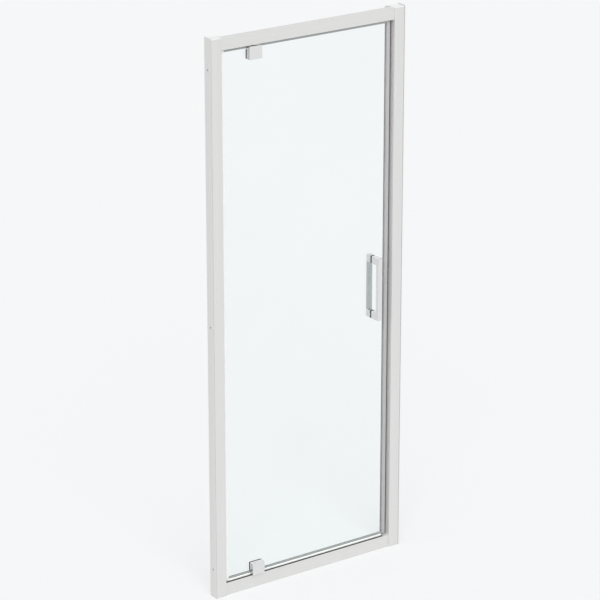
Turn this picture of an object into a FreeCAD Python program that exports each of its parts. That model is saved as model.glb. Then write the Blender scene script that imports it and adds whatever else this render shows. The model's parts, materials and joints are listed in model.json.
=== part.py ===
import FreeCAD, Part
import os

import Sketcher

# Pivot shower door for a recess between two walls: two wall channels, two posts that telescope
# over them, two rails, and a glass door clamped in a pivot block at its top and at its bottom.
# X runs from the left wall to the right wall, Y from the room into the shower and Z up.
# The origin is on the tray, midway between the walls, in the middle plane of the closed glass.

SIZES = (
    ("door_width", 750, "wall face to wall face"),
    ("post_height", 1900, "tray to the top of a post's cap"),
    ("post_depth", 35, "post, front face to back face"),
    ("post_width", 40.5, "post's front face, measured from the wall"),
    ("post_wall", 1.6, "wall of the post extrusion"),
    ("post_round", 1.2, "outer corner radius of a post"),
    ("cap_thickness", 2, "plate that closes the top of a post"),
    ("cap_round", 0.8, "rounding along the shown edges of a cap"),
    ("cap_spigot", 9, "how far a cap reaches down into its post"),
    ("channel_web", 2, "wall channel's web, against the wall"),
    ("channel_rise", 3, "web above the post's cap"),
    ("channel_leg", 26, "wall channel's legs, beyond the web"),
    ("channel_wall", 1.6, "thickness of the wall channel's legs"),
    ("channel_gap", 0.8, "between the web and the edge of the post"),
    ("slide_gap", 0.3, "between a leg and the wall of the post"),
    ("leg_drop", 12, "legs cut short of the post's top, clear of the cap"),
    ("wall_hole_radius", 3, "screw hole in the web"),
    ("wall_hole_end", 100, "outermost wall screws from either end of the post"),
    ("flange_reach", 8.5, "left post's stop flange, beyond the front face"),
    ("flange_gap", 0.2, "between a rail's back face and what stands behind it"),
    ("rail_front", 13.5, "glass plane to a rail's front face"),
    ("rail_back", 7, "glass plane to a rail's back face"),
    ("rail_wall", 1.6, "wall of the rail extrusions"),
    ("rail_round", 1.2, "outer corner radius of a rail"),
    ("top_rail_height", 39.5, "top rail, underside to top"),
    ("top_rail_drop", 1.5, "top rail below the top of the posts"),
    ("bottom_rail_height", 44, "bottom rail, tray to top"),
    ("screw_port", 6, "square port in a rail for its end screws"),
    ("port_radius", 2, "bore of a screw port"),
    ("rail_screw_length", 24, "rail end screw under its head"),
    ("strike_width", 13, "strike profile, along the rail"),
    ("strike_offset", 3.5, "between the right post and the strike profile"),
    ("strike_flange", 1.5, "strike profile's flange on the post"),
    ("strike_flange_depth", 5.8, "how far that flange reaches back"),
    ("strike_bridge", 2, "web that joins the strike profile to its flange"),
    ("rivet_end", 130, "outermost rivets from either end of the post"),
    ("rivet_radius", 1.6, "rivet's shank"),
    ("rivet_head_radius", 2.8, "rivet's head"),
    ("rivet_head_height", 0.8, "height of that head"),
    ("rivet_tail_radius", 2.4, "rivet's blind end"),
    ("rivet_tail_length", 1.6, "length of that end"),
    ("buffer_thickness", 1, "rubber strip on the strike profile's free side"),
    ("adjust_end", 150, "outermost adjusting screws from either end of the post"),
    ("adjust_inset", 20, "adjusting screw from the wall"),
    ("adjust_radius", 1.95, "adjusting screw's shank"),
    ("adjust_length", 8, "adjusting screw under its head"),
    ("pan_radius", 3.8, "pan head of the small screws"),
    ("pan_height", 2.2, "height of a pan head"),
    ("cross_reach", 1.9, "arm of a cross recess, from the screw's axis"),
    ("cross_half", 0.38, "half width of such an arm"),
    ("cross_floor", 0.75, "floor of a cross recess, above the head's seat"),
    ("screw_play", 0.3, "radial room round a screw in a plain hole"),
    ("thread_play", 0.05, "radial room round a screw in its thread"),
    ("cover_radius", 6, "cover of an adjusting screw"),
    ("cover_height", 4, "height of that cover"),
    ("cover_skin", 1.2, "skin of that cover"),
    ("glass_thickness", 6, "toughened glass"),
    ("glass_edge", 0.6, "ground edge of the glass"),
    ("glass_left_gap", 1.7, "stop flange to the glass edge on the pivot side"),
    ("glass_right_gap", 10, "right post to the glass edge on the closing side"),
    ("glass_bottom_gap", 8, "bottom rail to the glass"),
    ("glass_top_gap", 3.5, "top rail to the glass"),
    ("pivot_inset", 166.5, "left wall to the pivot axis"),
    ("pivot_gap", 2.2, "rail face to a pivot block"),
    ("block_width", 47.5, "width of a pivot block's front plate"),
    ("block_height", 42.5, "height of that plate"),
    ("block_front", 18, "thickness of the front plate"),
    ("block_back", 6, "thickness of the back plate"),
    ("block_back_inset", 4, "back plate's sides and far edge, in from the front plate's"),
    ("block_round", 1, "edge radius of a plate"),
    ("block_gasket", 1, "gasket between plate and glass"),
    ("gasket_inset", 0.3, "gasket's edge behind the plate's edge"),
    ("notch_half", 18, "half width of the notch in the glass"),
    ("notch_depth", 25, "notch, up from the glass edge"),
    ("notch_round", 5, "corner radius of the notch"),
    ("carrier_half", 8, "half width of the pin carrier"),
    ("carrier_half_depth", 6.8, "half depth of the pin carrier"),
    ("carrier_low", 4, "pin carrier from the rail face"),
    ("carrier_height", 24, "height of the pin carrier"),
    ("carrier_play", 0.2, "pin carrier in its pockets"),
    ("pin_radius", 3, "pivot pin"),
    ("pin_play", 0.05, "pivot pin in its bush, all round"),
    ("press_play", 0.02, "room round a part that is pushed home"),
    ("pin_depth", 16, "pin below the rail face"),
    ("bush_radius", 4.2, "outside of the pivot bush"),
    ("bush_depth", 18, "bush below the rail face"),
    ("bush_flange_radius", 6.4, "flange of the bush"),
    ("bush_flange", 1, "thickness of that flange"),
    ("insert_half", 25, "half length of the pivot insert in a rail"),
    ("insert_height", 24, "height of the pivot insert"),
    ("insert_play", 0.2, "pivot insert in the rail"),
    ("insert_screw_offset", 15, "insert screw from the pivot axis"),
    ("insert_screw_depth", 12, "insert screw below the top of the insert"),
    ("insert_screw_length", 6, "insert screw under its head"),
    ("clamp_offset", 13, "clamp screw from the pivot axis"),
    ("clamp_height", 20, "clamp screw from the rail face"),
    ("clamp_radius", 2.5, "clamp screw's shank"),
    ("clamp_head_radius", 4.8, "clamp screw's sunk head"),
    ("clamp_head_height", 3.3, "height of that head"),
    ("clamp_sink", 3.8, "seat of that head, below the back plate's face"),
    ("clamp_key", 1.75, "hexagon in that head, middle to corner"),
    ("clamp_key_depth", 2.2, "depth of that hexagon"),
    ("clamp_blind", 10, "thread in the front plate"),
    ("handle_inset", 108.5, "right wall to the middle of the handle"),
    ("handle_centre", 958.5, "height of the middle of the handle"),
    ("handle_length", 218, "handle, end to end"),
    ("handle_width", 15, "handle, along the glass"),
    ("handle_bar", 13.6, "thickness of the handle's bar"),
    ("handle_leg", 25, "height of each leg of the handle"),
    ("handle_reach_out", 40, "glass to the front of the outer handle"),
    ("handle_reach_in", 24, "glass to the back of the inner handle"),
    ("handle_gasket", 1.5, "gasket between a leg and the glass"),
    ("handle_round", 0.8, "edge radius of a handle"),
    ("stud_radius", 3, "stud through the glass"),
    ("stud_out", 12, "stud in the outer leg"),
    ("stud_in", 8, "stud in the inner leg"),
    ("sleeve_radius", 6, "hole in the glass for a stud's sleeve"),
    ("sleeve_play", 0.1, "radial room inside and outside a sleeve"),
    ("grub_radius", 2, "grub screw of the inner handle"),
    ("grub_key", 1.2, "hexagon in a grub screw, middle to corner"),
    ("grub_sink", 1, "grub screw below the leg's underside"),
    ("seal_leg", 8, "grip of the seal on the pivot side"),
    ("level_leg", 6, "grip of the seals along the top and the bottom"),
    ("seal_skin", 0.8, "thickness of a seal's leg"),
    ("seal_base", 1.2, "seal's back, on the glass edge"),
    ("seal_play", 0.05, "between a seal and the glass face"),
    ("closing_leg", 12, "grip of the seal on the closing side"),
    ("closing_pocket", 2, "leg that holds the door's magnet"),
    ("magnet_width", 6, "magnet strip"),
    ("magnet_thickness", 1.2, "thickness of a magnet strip"),
    ("frame_magnet_thickness", 1.6, "magnet strip on the strike profile"),
    ("magnet_inset", 0.9, "magnet strip from the strike profile's free edge"),
    ("end_gap", 0.5, "between the end of a seal and its neighbour"),
    ("wiper_gap", 1.2, "bottom rail to the wiper's lip"),
    ("wiper_lip", 1, "thickness of the wiper's lip"),
    ("sill_thickness", 0.8, "rubber strip on the bottom rail"),
    ("sill_front", 0.9, "rail's front face to the rubber strip"),
    ("sill_back", 4.5, "glass plane to the rubber strip"),
    ("bulb_front", 4, "pivot side bulb in front of the glass plane"),
    ("bulb_skin", 1.2, "skin of that bulb"),
)

# Places that several pieces share, each worked out from the sizes above.
LEFT_WALL = "(-Sizes.door_width / 2)"
RIGHT_WALL = "(Sizes.door_width / 2)"
LEFT_POST = "(Sizes.post_width - Sizes.door_width / 2)"
RIGHT_POST = "(Sizes.door_width / 2 - Sizes.post_width)"
HALF_DEPTH = "(Sizes.post_depth / 2)"
POST_EDGE = "(Sizes.channel_web + Sizes.channel_gap)"
POST_TOP = "(Sizes.post_height - Sizes.cap_thickness)"
LEG_OUT = "(Sizes.post_depth / 2 - Sizes.post_wall - Sizes.slide_gap)"
FLANGE_FRONT = "(Sizes.rail_back + Sizes.flange_gap)"
SILL = "Sizes.bottom_rail_height"
HEAD_TOP = "(Sizes.post_height - Sizes.top_rail_drop)"
HEAD = "(Sizes.post_height - Sizes.top_rail_drop - Sizes.top_rail_height)"
PORT_Y = "(Sizes.rail_wall + Sizes.screw_port / 2 - Sizes.rail_front)"
PORT_INSET = "(Sizes.rail_wall + Sizes.screw_port / 2)"
STRIKE_RIGHT = "(Sizes.door_width / 2 - Sizes.post_width - Sizes.strike_offset)"
STRIKE_LEFT = f"({STRIKE_RIGHT} - Sizes.strike_width)"
PIVOT = "(Sizes.pivot_inset - Sizes.door_width / 2)"
HALF_GLASS = "(Sizes.glass_thickness / 2)"
GLASS_LEFT = f"({LEFT_POST} + Sizes.flange_reach + Sizes.glass_left_gap)"
GLASS_RIGHT = f"({RIGHT_POST} - Sizes.glass_right_gap)"
GLASS_BOTTOM = f"({SILL} + Sizes.glass_bottom_gap)"
GLASS_TOP = f"({HEAD} - Sizes.glass_top_gap)"
HANDLE = "(Sizes.door_width / 2 - Sizes.handle_inset)"
STUD_RISE = "(Sizes.handle_length / 2 - Sizes.handle_leg / 2)"

X_AXIS = FreeCAD.Vector(1, 0, 0)
Y_AXIS = FreeCAD.Vector(0, 1, 0)
Z_AXIS = FreeCAD.Vector(0, 0, 1)
NO_TURN = FreeCAD.Rotation()
# A screw's head points along its own +Z; these turn it to face another way.
HEAD_LEFT = FreeCAD.Rotation(Y_AXIS, -90)
HEAD_RIGHT = FreeCAD.Rotation(Y_AXIS, 90)
HEAD_BACK = FreeCAD.Rotation(X_AXIS, -90)
HEAD_DOWN = FreeCAD.Rotation(X_AXIS, 180)
UPSIDE_DOWN = FreeCAD.Rotation(Y_AXIS, 180)

doc = FreeCAD.newDocument("pivot_shower_door")
sheet = doc.addObject("Spreadsheet::Sheet", "Sizes")
subparts = []


def fill_sheet():
    """Write each size to its own row: its name, its value and what it measures."""
    for row, (alias, value, meaning) in enumerate(SIZES, 1):
        sheet.set(f"A{row}", alias)
        sheet.set(f"B{row}", str(value))
        sheet.set(f"C{row}", meaning)
        sheet.setAlias(f"B{row}", alias)
    doc.recompute()


def keep(item, label):
    """Make an object one of the pieces of the door, under the name of its file."""
    item.Label = label
    subparts.append(item)
    return item


def place(item, x="0", y="0", z="0", turn=NO_TURN):
    """Put an object at x, y, z, turned about its own origin."""
    item.Placement = FreeCAD.Placement(FreeCAD.Vector(), turn)
    item.setExpression("Placement.Base.x", x)
    item.setExpression("Placement.Base.y", y)
    item.setExpression("Placement.Base.z", z)
    return item


def new_body(label):
    """Start a piece that is drawn and padded."""
    body = doc.addObject("PartDesign::Body", label)
    body.AllowCompound = True
    return keep(body, label)


def new_sketch(body, role, offset="0"):
    """Start a sketch parallel to one of the body's planes, at offset along X, Y or Z."""
    plane = [item for item in body.Origin.OriginFeatures if item.Role == role][0]
    drawing = body.newObject("Sketcher::SketchObject", body.Name + "_outline")
    drawing.AttachmentSupport = [(plane, "")]
    drawing.MapMode = "FlatFace"
    along = f"-({offset})" if role == "XZ_Plane" else offset
    drawing.setExpression("AttachmentOffset.Base.z", along)
    return drawing


def fix_point(drawing, curve, point, start, across, up):
    """Hold one point of a curve at the distances across and up from the sketch's origin."""
    for kind, value, distance in (("DistanceX", start.x, across), ("DistanceY", start.y, up)):
        rule = drawing.addConstraint(Sketcher.Constraint(kind, -1, 1, curve, point, value))
        drawing.setExpression(f"Constraints[{rule}]", distance)


def draw_outline(drawing, corners):
    """Draw a closed outline of straight lines through corners, each given as (across, up)."""
    first = drawing.GeometryCount
    count = len(corners)
    ring = FreeCAD.Vector(count, 0, 0)
    rough = [FreeCAD.Rotation(Z_AXIS, 360 * step / count).multVec(ring) for step in range(count)]
    for step in range(count):
        drawing.addGeometry(Part.LineSegment(rough[step], rough[(step + 1) % count]), False)
    for step in range(count):
        following = first + (step + 1) % count
        drawing.addConstraint(Sketcher.Constraint("Coincident", first + step, 2, following, 1))
    for step, (across, up) in enumerate(corners):
        fix_point(drawing, first + step, 1, rough[step], across, up)


def draw_box(drawing, left, right, low, high):
    """Draw a rectangle between left and right and between low and high."""
    draw_outline(drawing, ((left, low), (right, low), (right, high), (left, high)))


def draw_circle(drawing, across, up, radius):
    """Draw a circle round the point across, up."""
    curve = drawing.GeometryCount
    middle = FreeCAD.Vector(1, 1, 0)
    drawing.addGeometry(Part.Circle(middle, Z_AXIS, 1), False)
    fix_point(drawing, curve, 3, middle, across, up)
    rule = drawing.addConstraint(Sketcher.Constraint("Radius", curve, 1))
    drawing.setExpression(f"Constraints[{rule}]", radius)


def pad(body, drawing, length, midplane=False, backwards=False):
    """Thicken a sketch by length."""
    feature = body.newObject("PartDesign::Pad", body.Name + "_pad")
    feature.Profile = drawing
    feature.Midplane = midplane
    feature.Reversed = backwards
    feature.setExpression("Length", length)
    return feature


def cut(body, drawing, depth):
    """Cut a sketch's shape to depth on both sides of the sketch."""
    feature = body.newObject("PartDesign::Pocket", body.Name + "_cut")
    feature.Profile = drawing
    feature.Midplane = True
    feature.setExpression("Length", f"2 * ({depth})")
    return feature


def size(alias):
    """The value of one size."""
    return float(sheet.get(alias))


def round_edges(body, radius, wanted):
    """Round the straight edges that wanted(middle, direction) accepts."""
    doc.recompute()
    base = body.Tip
    names = []
    for number, edge in enumerate(base.Shape.Edges, 1):
        if edge.Curve.TypeId == "Part::GeomLine":
            direction = edge.tangentAt(edge.FirstParameter)
            if wanted(edge.CenterOfMass, direction):
                names.append(f"Edge{number}")
    feature = body.newObject("PartDesign::Fillet", body.Name + "_round")
    feature.Base = (base, names)
    feature.setExpression("Radius", radius)
    return feature


def runs_along(direction, axis):
    """Whether a direction is that of the axis, either way."""
    return abs(direction.dot(axis)) > 0.999


def same(value, other):
    """Whether two lengths are the same."""
    return abs(value - other) < 0.001


def box(label, low_corner, high_corner):
    """A plain block between two corners, each given as three expressions."""
    block = doc.addObject("Part::Box", label)
    for side, low, high in zip(("Length", "Width", "Height"), low_corner, high_corner):
        block.setExpression(side, f"({high}) - ({low})")
    return place(block, *low_corner)


def cylinder(name, radius, length, x="0", y="0", z="0", turn=NO_TURN):
    """A cylinder whose base is at x, y, z."""
    rod = doc.addObject("Part::Cylinder", name)
    rod.setExpression("Radius", radius)
    rod.setExpression("Height", length)
    return place(rod, x, y, z, turn)


def fused(name, *pieces):
    """One solid made of several."""
    whole = doc.addObject("Part::MultiFuse", name)
    whole.Shapes = list(pieces)
    whole.Refine = True
    return whole


def less(name, base, tool):
    """What is left of base without tool."""
    rest = doc.addObject("Part::Cut", name)
    rest.Base = base
    rest.Tool = tool
    return rest


def group_of(label, pattern, places):
    """Copies of one pattern, each a solid of its own, at places given as (x, y, z, turn)."""
    copies = []
    for x, y, z, turn in places:
        copy = doc.addObject("App::Link", label + "_copy")
        copy.LinkedObject = pattern
        copy.LinkTransform = True
        copies.append(place(copy, x, y, z, turn))
    group = doc.addObject("Part::Compound", label)
    group.Links = copies
    return keep(group, label)


def hex_recess(name, across, depth, z):
    """The hollow that a hexagon key fits, with its mouth at height z."""
    hollow = doc.addObject("Part::Prism", name)
    hollow.Polygon = 6
    hollow.setExpression("Circumradius", across)
    hollow.setExpression("Height", depth)
    return place(hollow, z=f"{z} - {depth}")


def pan_screw(name, shank_radius, length):
    """A pan-head screw whose head sits on its own XY plane, with a cross recess."""
    head = cylinder(name + "_head", "Sizes.pan_radius", "Sizes.pan_height")
    shank = cylinder(name + "_shank", shank_radius, length, z=f"-({length})")
    arm = "Sizes.cross_reach"
    slot = "Sizes.cross_half"
    bottom = "Sizes.cross_floor"
    above = "Sizes.pan_height * 2"
    first = box(name + "_slot_a", (f"-{arm}", f"-{slot}", bottom), (arm, slot, above))
    second = box(name + "_slot_b", (f"-{slot}", f"-{arm}", bottom), (slot, arm, above))
    whole = fused(name + "_blank", head, shank)
    cross = fused(name + "_cross", first, second)
    return less(name, whole, cross)


def mirrored(side, expression):
    """The same distance on the left (-1) or on the right (1) of the middle."""
    return f"{side} * ({expression})"


def along_post(end, number, count):
    """Height of one of count fixings, spread evenly from end above the foot to end below the top."""
    return f"({end} + {number} * (Sizes.post_height - 2 * {end}) / {count - 1})"


def wall_channel(label, side):
    """Extrusion screwed to a wall: a full-depth web and two legs that the post slides over."""
    body = new_body(label)
    wall = "Sizes.door_width / 2"
    inner = f"{wall} - Sizes.channel_web"
    tip = f"{inner} - Sizes.channel_leg"
    leg_in = f"{LEG_OUT} - Sizes.channel_wall"
    half = (
        (wall, HALF_DEPTH),
        (inner, HALF_DEPTH),
        (inner, LEG_OUT),
        (tip, LEG_OUT),
        (tip, leg_in),
        (inner, leg_in),
    )
    corners = [(mirrored(side, x), y) for x, y in half]
    corners += [(mirrored(side, x), f"-({y})") for x, y in reversed(half)]
    section = new_sketch(body, "XY_Plane")
    draw_outline(section, corners)
    pad(body, section, "Sizes.post_height + Sizes.channel_rise")
    short_legs = new_sketch(body, "XZ_Plane")
    near = mirrored(side, inner)
    far = mirrored(side, f"{tip} - Sizes.channel_leg")
    draw_box(short_legs, near, far, "Sizes.post_height - Sizes.leg_drop", "Sizes.post_height * 2")
    cut(body, short_legs, "Sizes.post_depth")
    wall_holes = new_sketch(body, "YZ_Plane", mirrored(side, wall))
    for number in range(3):
        height = along_post("Sizes.wall_hole_end", number, 3)
        draw_circle(wall_holes, "0", height, "Sizes.wall_hole_radius")
    cut(body, wall_holes, "2 * Sizes.channel_web")
    leg_holes = new_sketch(body, "XZ_Plane", LEG_OUT)
    for number in range(3):
        height = along_post("Sizes.adjust_end", number, 3)
        across = mirrored(side, f"{wall} - Sizes.adjust_inset")
        draw_circle(leg_holes, across, height, "Sizes.adjust_radius + Sizes.thread_play")
    cut(body, leg_holes, "2 * Sizes.channel_wall")


def post_corners(side, inset="0"):
    """Outline of a post, open towards the wall, in from its outer faces by inset."""
    front = f"-({HALF_DEPTH} - {inset})"
    back = f"({HALF_DEPTH} - {inset})"
    edge = f"Sizes.door_width / 2 - {POST_EDGE}"
    inner = f"{RIGHT_POST} + {inset}"
    corners = [(edge, front), (inner, front)]
    if side < 0 and inset == "0":
        reach = f"{inner} - Sizes.flange_reach"
        corners += [(inner, FLANGE_FRONT), (reach, FLANGE_FRONT), (reach, back)]
    else:
        corners += [(inner, back)]
    corners += [(edge, back)]
    return [(mirrored(side, x), y) for x, y in corners]


def post(label, side):
    """Upright extrusion: its front is what the room sees. The left one has the stop flange."""
    body = new_body(label)
    section = new_sketch(body, "XY_Plane")
    outer = post_corners(side)
    inner = post_corners(side, "Sizes.post_wall")
    draw_outline(section, outer + inner[::-1])
    if side < 0:
        tip = f"{RIGHT_POST} - Sizes.flange_reach + Sizes.post_wall"
        low = f"{FLANGE_FRONT} + Sizes.post_wall"
        high = f"{HALF_DEPTH} - Sizes.post_wall"
        draw_box(section, mirrored(side, RIGHT_POST), mirrored(side, tip), low, high)
    pad(body, section, POST_TOP)
    screw_holes = new_sketch(body, "YZ_Plane", mirrored(side, RIGHT_POST))
    for height in rail_screw_heights():
        draw_circle(screw_holes, PORT_Y, height, "Sizes.port_radius + Sizes.screw_play")
    cut(body, screw_holes, "2 * Sizes.post_wall")
    adjust_holes = new_sketch(body, "XZ_Plane", HALF_DEPTH)
    for number in range(3):
        height = along_post("Sizes.adjust_end", number, 3)
        across = mirrored(side, "Sizes.door_width / 2 - Sizes.adjust_inset")
        draw_circle(adjust_holes, across, height, "Sizes.adjust_radius + Sizes.screw_play")
    cut(body, adjust_holes, "1.5 * Sizes.post_wall")
    if side > 0:
        rivet_holes = new_sketch(body, "YZ_Plane", RIGHT_POST)
        for number in range(4):
            radius = "Sizes.rivet_radius + Sizes.thread_play"
            draw_circle(rivet_holes, RIVET_Y, rivet_height(number), radius)
        cut(body, rivet_holes, "2 * Sizes.post_wall")
    half_depth = size("post_depth") / 2
    edge = size("door_width") / 2 - size("channel_web") - size("channel_gap")
    inner_face = size("door_width") / 2 - size("post_width")
    flange_end = inner_face - (size("flange_reach") if side < 0 else 0)

    def outer_corner(middle, direction):
        """Whether an edge is an outer front or back corner of the post."""
        across = side * middle.x
        at_front = same(middle.y, -half_depth) and (same(across, edge) or same(across, inner_face))
        at_back = same(middle.y, half_depth) and (same(across, edge) or same(across, flange_end))
        return runs_along(direction, Z_AXIS) and (at_front or at_back)

    round_edges(body, "min(Sizes.post_round; 0.7 * Sizes.post_wall)", outer_corner)


def post_cap(label, side):
    """Moulded cap: a plate over the end of a post and a spigot inside it."""
    body = new_body(label)
    plate = new_sketch(body, "XY_Plane", POST_TOP)
    draw_outline(plate, post_corners(side))
    pad(body, plate, "Sizes.cap_thickness")
    spigot = new_sketch(body, "XY_Plane", POST_TOP)
    inset = "(Sizes.post_wall + Sizes.slide_gap)"
    outer = f"Sizes.door_width / 2 - {POST_EDGE} - Sizes.post_wall"
    inner = f"{RIGHT_POST} + {inset} + Sizes.pan_height"
    across = (mirrored(side, outer), mirrored(side, inner))
    draw_box(spigot, *across, f"{inset} - {HALF_DEPTH}", f"{HALF_DEPTH} - {inset}")
    pad(body, spigot, "Sizes.cap_spigot", backwards=True)
    top = size("post_height")
    half_depth = size("post_depth") / 2
    inner_face = size("door_width") / 2 - size("post_width")

    def top_edge(middle, direction):
        """Whether an edge lies round the top of the plate, at its front or towards the door."""
        facing = same(middle.y, -half_depth) or same(side * middle.x, inner_face)
        return same(middle.z, top) and facing

    round_edges(body, "Sizes.cap_round", top_edge)


def rail_screw_heights():
    """Heights of the screws that hold the rails: two in each rail's end."""
    return (
        PORT_INSET,
        f"{SILL} - {PORT_INSET}",
        f"{HEAD} + {PORT_INSET}",
        f"{HEAD_TOP} - {PORT_INSET}",
    )


def rail(label, low, high, pivot_face):
    """Hollow rail between the posts, with two screw ports along its front wall."""
    body = new_body(label)
    section = new_sketch(body, "YZ_Plane")
    draw_box(section, "-Sizes.rail_front", "Sizes.rail_back", low, high)
    floor = f"{low} + Sizes.rail_wall"
    roof = f"{high} - Sizes.rail_wall"
    front = "(Sizes.rail_wall - Sizes.rail_front)"
    step = "(Sizes.rail_wall - Sizes.rail_front + Sizes.screw_port)"
    back = "(Sizes.rail_back - Sizes.rail_wall)"
    cavity = (
        (step, floor),
        (back, floor),
        (back, roof),
        (step, roof),
        (step, f"{roof} - Sizes.screw_port"),
        (front, f"{roof} - Sizes.screw_port"),
        (front, f"{floor} + Sizes.screw_port"),
        (step, f"{floor} + Sizes.screw_port"),
    )
    draw_outline(section, cavity)
    for height in (f"{low} + {PORT_INSET}", f"{high} - {PORT_INSET}"):
        draw_circle(section, PORT_Y, height, "Sizes.port_radius")
    pad(body, section, f"{RIGHT_POST} - {LEFT_POST}", midplane=True)
    bush_hole = new_sketch(body, "XY_Plane", pivot_face)
    draw_circle(bush_hole, PIVOT, "0", "Sizes.bush_radius + Sizes.press_play")
    cut(body, bush_hole, "2 * Sizes.rail_wall")
    screw_holes = new_sketch(body, "XZ_Plane", "Sizes.rail_back")
    upward = "1" if pivot_face == HEAD else "-1"
    drop = "Sizes.rail_wall + Sizes.insert_screw_depth"
    for way in ("-", "+"):
        across = f"{PIVOT} {way} Sizes.insert_screw_offset"
        radius = "Sizes.adjust_radius + Sizes.screw_play"
        draw_circle(screw_holes, across, f"{pivot_face} + {upward} * ({drop})", radius)
    cut(body, screw_holes, "2 * Sizes.rail_wall")
    front_face = -size("rail_front")
    back_face = size("rail_back")

    def outer_corner(middle, direction):
        """Whether an edge is one of the rail's four long outer corners."""
        outside = same(middle.y, front_face) or same(middle.y, back_face)
        return runs_along(direction, X_AXIS) and outside

    round_edges(body, "min(Sizes.rail_round; 0.7 * Sizes.rail_wall)", outer_corner)


RIVET_Y = f"({FLANGE_FRONT} + Sizes.strike_bridge + Sizes.strike_flange_depth / 2)"


def rivet_height(number):
    """Height of one of the strike profile's rivets."""
    return along_post("Sizes.rivet_end", number, 4)


def strike_profile():
    """Hollow upright that the door closes against, riveted to the right post by a flange."""
    body = new_body("strike_profile")
    back = HALF_DEPTH
    flange_face = f"({RIGHT_POST} - Sizes.strike_flange)"
    bridge_back = f"({FLANGE_FRONT} + Sizes.strike_bridge)"
    flange_back = f"({bridge_back} + Sizes.strike_flange_depth)"
    section = new_sketch(body, "XY_Plane")
    corners = (
        (STRIKE_LEFT, FLANGE_FRONT),
        (RIGHT_POST, FLANGE_FRONT),
        (RIGHT_POST, flange_back),
        (flange_face, flange_back),
        (flange_face, bridge_back),
        (STRIKE_RIGHT, bridge_back),
        (STRIKE_RIGHT, back),
        (STRIKE_LEFT, back),
    )
    draw_outline(section, corners)
    skin = "Sizes.post_wall"
    across = (f"{STRIKE_LEFT} + {skin}", f"{STRIKE_RIGHT} - {skin}")
    draw_box(section, *across, f"{FLANGE_FRONT} + {skin}", f"{back} - {skin}")
    pad(body, section, "Sizes.post_height")
    rivet_holes = new_sketch(body, "YZ_Plane", RIGHT_POST)
    for number in range(4):
        radius = "Sizes.rivet_radius + Sizes.thread_play"
        draw_circle(rivet_holes, RIVET_Y, rivet_height(number), radius)
    cut(body, rivet_holes, "1.5 * Sizes.strike_flange")
    inner_face = size("door_width") / 2 - size("post_width")
    free_side = inner_face - size("strike_offset") - size("strike_width")

    def free_corner(middle, direction):
        """Whether an edge is a corner of the strike's free side."""
        return runs_along(direction, Z_AXIS) and same(middle.x, free_side)

    round_edges(body, "min(Sizes.rail_round; 0.7 * Sizes.post_wall)", free_corner)


def strike_buffer():
    """Rubber strip down the flat of the strike profile's free side, between the rails."""
    left = f"{STRIKE_LEFT} - Sizes.buffer_thickness"
    low = (left, f"{FLANGE_FRONT} + Sizes.rail_round", f"{SILL} + Sizes.end_gap")
    high = (STRIKE_LEFT, f"{HALF_DEPTH} - Sizes.rail_round", f"{HEAD} - Sizes.end_gap")
    keep(box("strike_buffer", low, high), "strike_buffer")


def frame_screws():
    """Screws, rivets and covers of the frame."""
    rail_shank = "Sizes.port_radius - Sizes.thread_play"
    rail_screw = pan_screw("rail_screw", rail_shank, "Sizes.rail_screw_length")
    places = []
    for side, turn in ((-1, HEAD_LEFT), (1, HEAD_RIGHT)):
        seat = mirrored(side, f"{RIGHT_POST} + Sizes.post_wall")
        places += [(seat, PORT_Y, height, turn) for height in rail_screw_heights()]
    group_of("rail_screws", rail_screw, places)

    adjusting = pan_screw("adjusting_screw", "Sizes.adjust_radius", "Sizes.adjust_length")
    outside = cylinder("cover_outside", "Sizes.cover_radius", "Sizes.cover_height")
    hollow_radius = "Sizes.cover_radius - Sizes.cover_skin"
    hollow = cylinder("cover_hollow", hollow_radius, "Sizes.cover_height - Sizes.cover_skin")
    cover = less("screw_cover", outside, hollow)
    places = []
    for side in (-1, 1):
        across = mirrored(side, "Sizes.door_width / 2 - Sizes.adjust_inset")
        for number in range(3):
            height = along_post("Sizes.adjust_end", number, 3)
            places.append((across, HALF_DEPTH, height, HEAD_BACK))
    group_of("adjusting_screws", adjusting, places)
    group_of("screw_covers", cover, places)

    head = cylinder("rivet_head", "Sizes.rivet_head_radius", "Sizes.rivet_head_height")
    grip = "Sizes.strike_flange + Sizes.post_wall"
    shank = cylinder("rivet_shank", "Sizes.rivet_radius", grip, z=f"-({grip})")
    tail_end = f"-({grip}) - Sizes.rivet_tail_length"
    tail = cylinder("rivet_tail", "Sizes.rivet_tail_radius", "Sizes.rivet_tail_length", z=tail_end)
    rivet = fused("rivet", head, shank, tail)
    seat = f"{RIGHT_POST} - Sizes.strike_flange"
    places = [(seat, RIVET_Y, rivet_height(number), HEAD_LEFT) for number in range(4)]
    group_of("strike_rivets", rivet, places)


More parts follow.
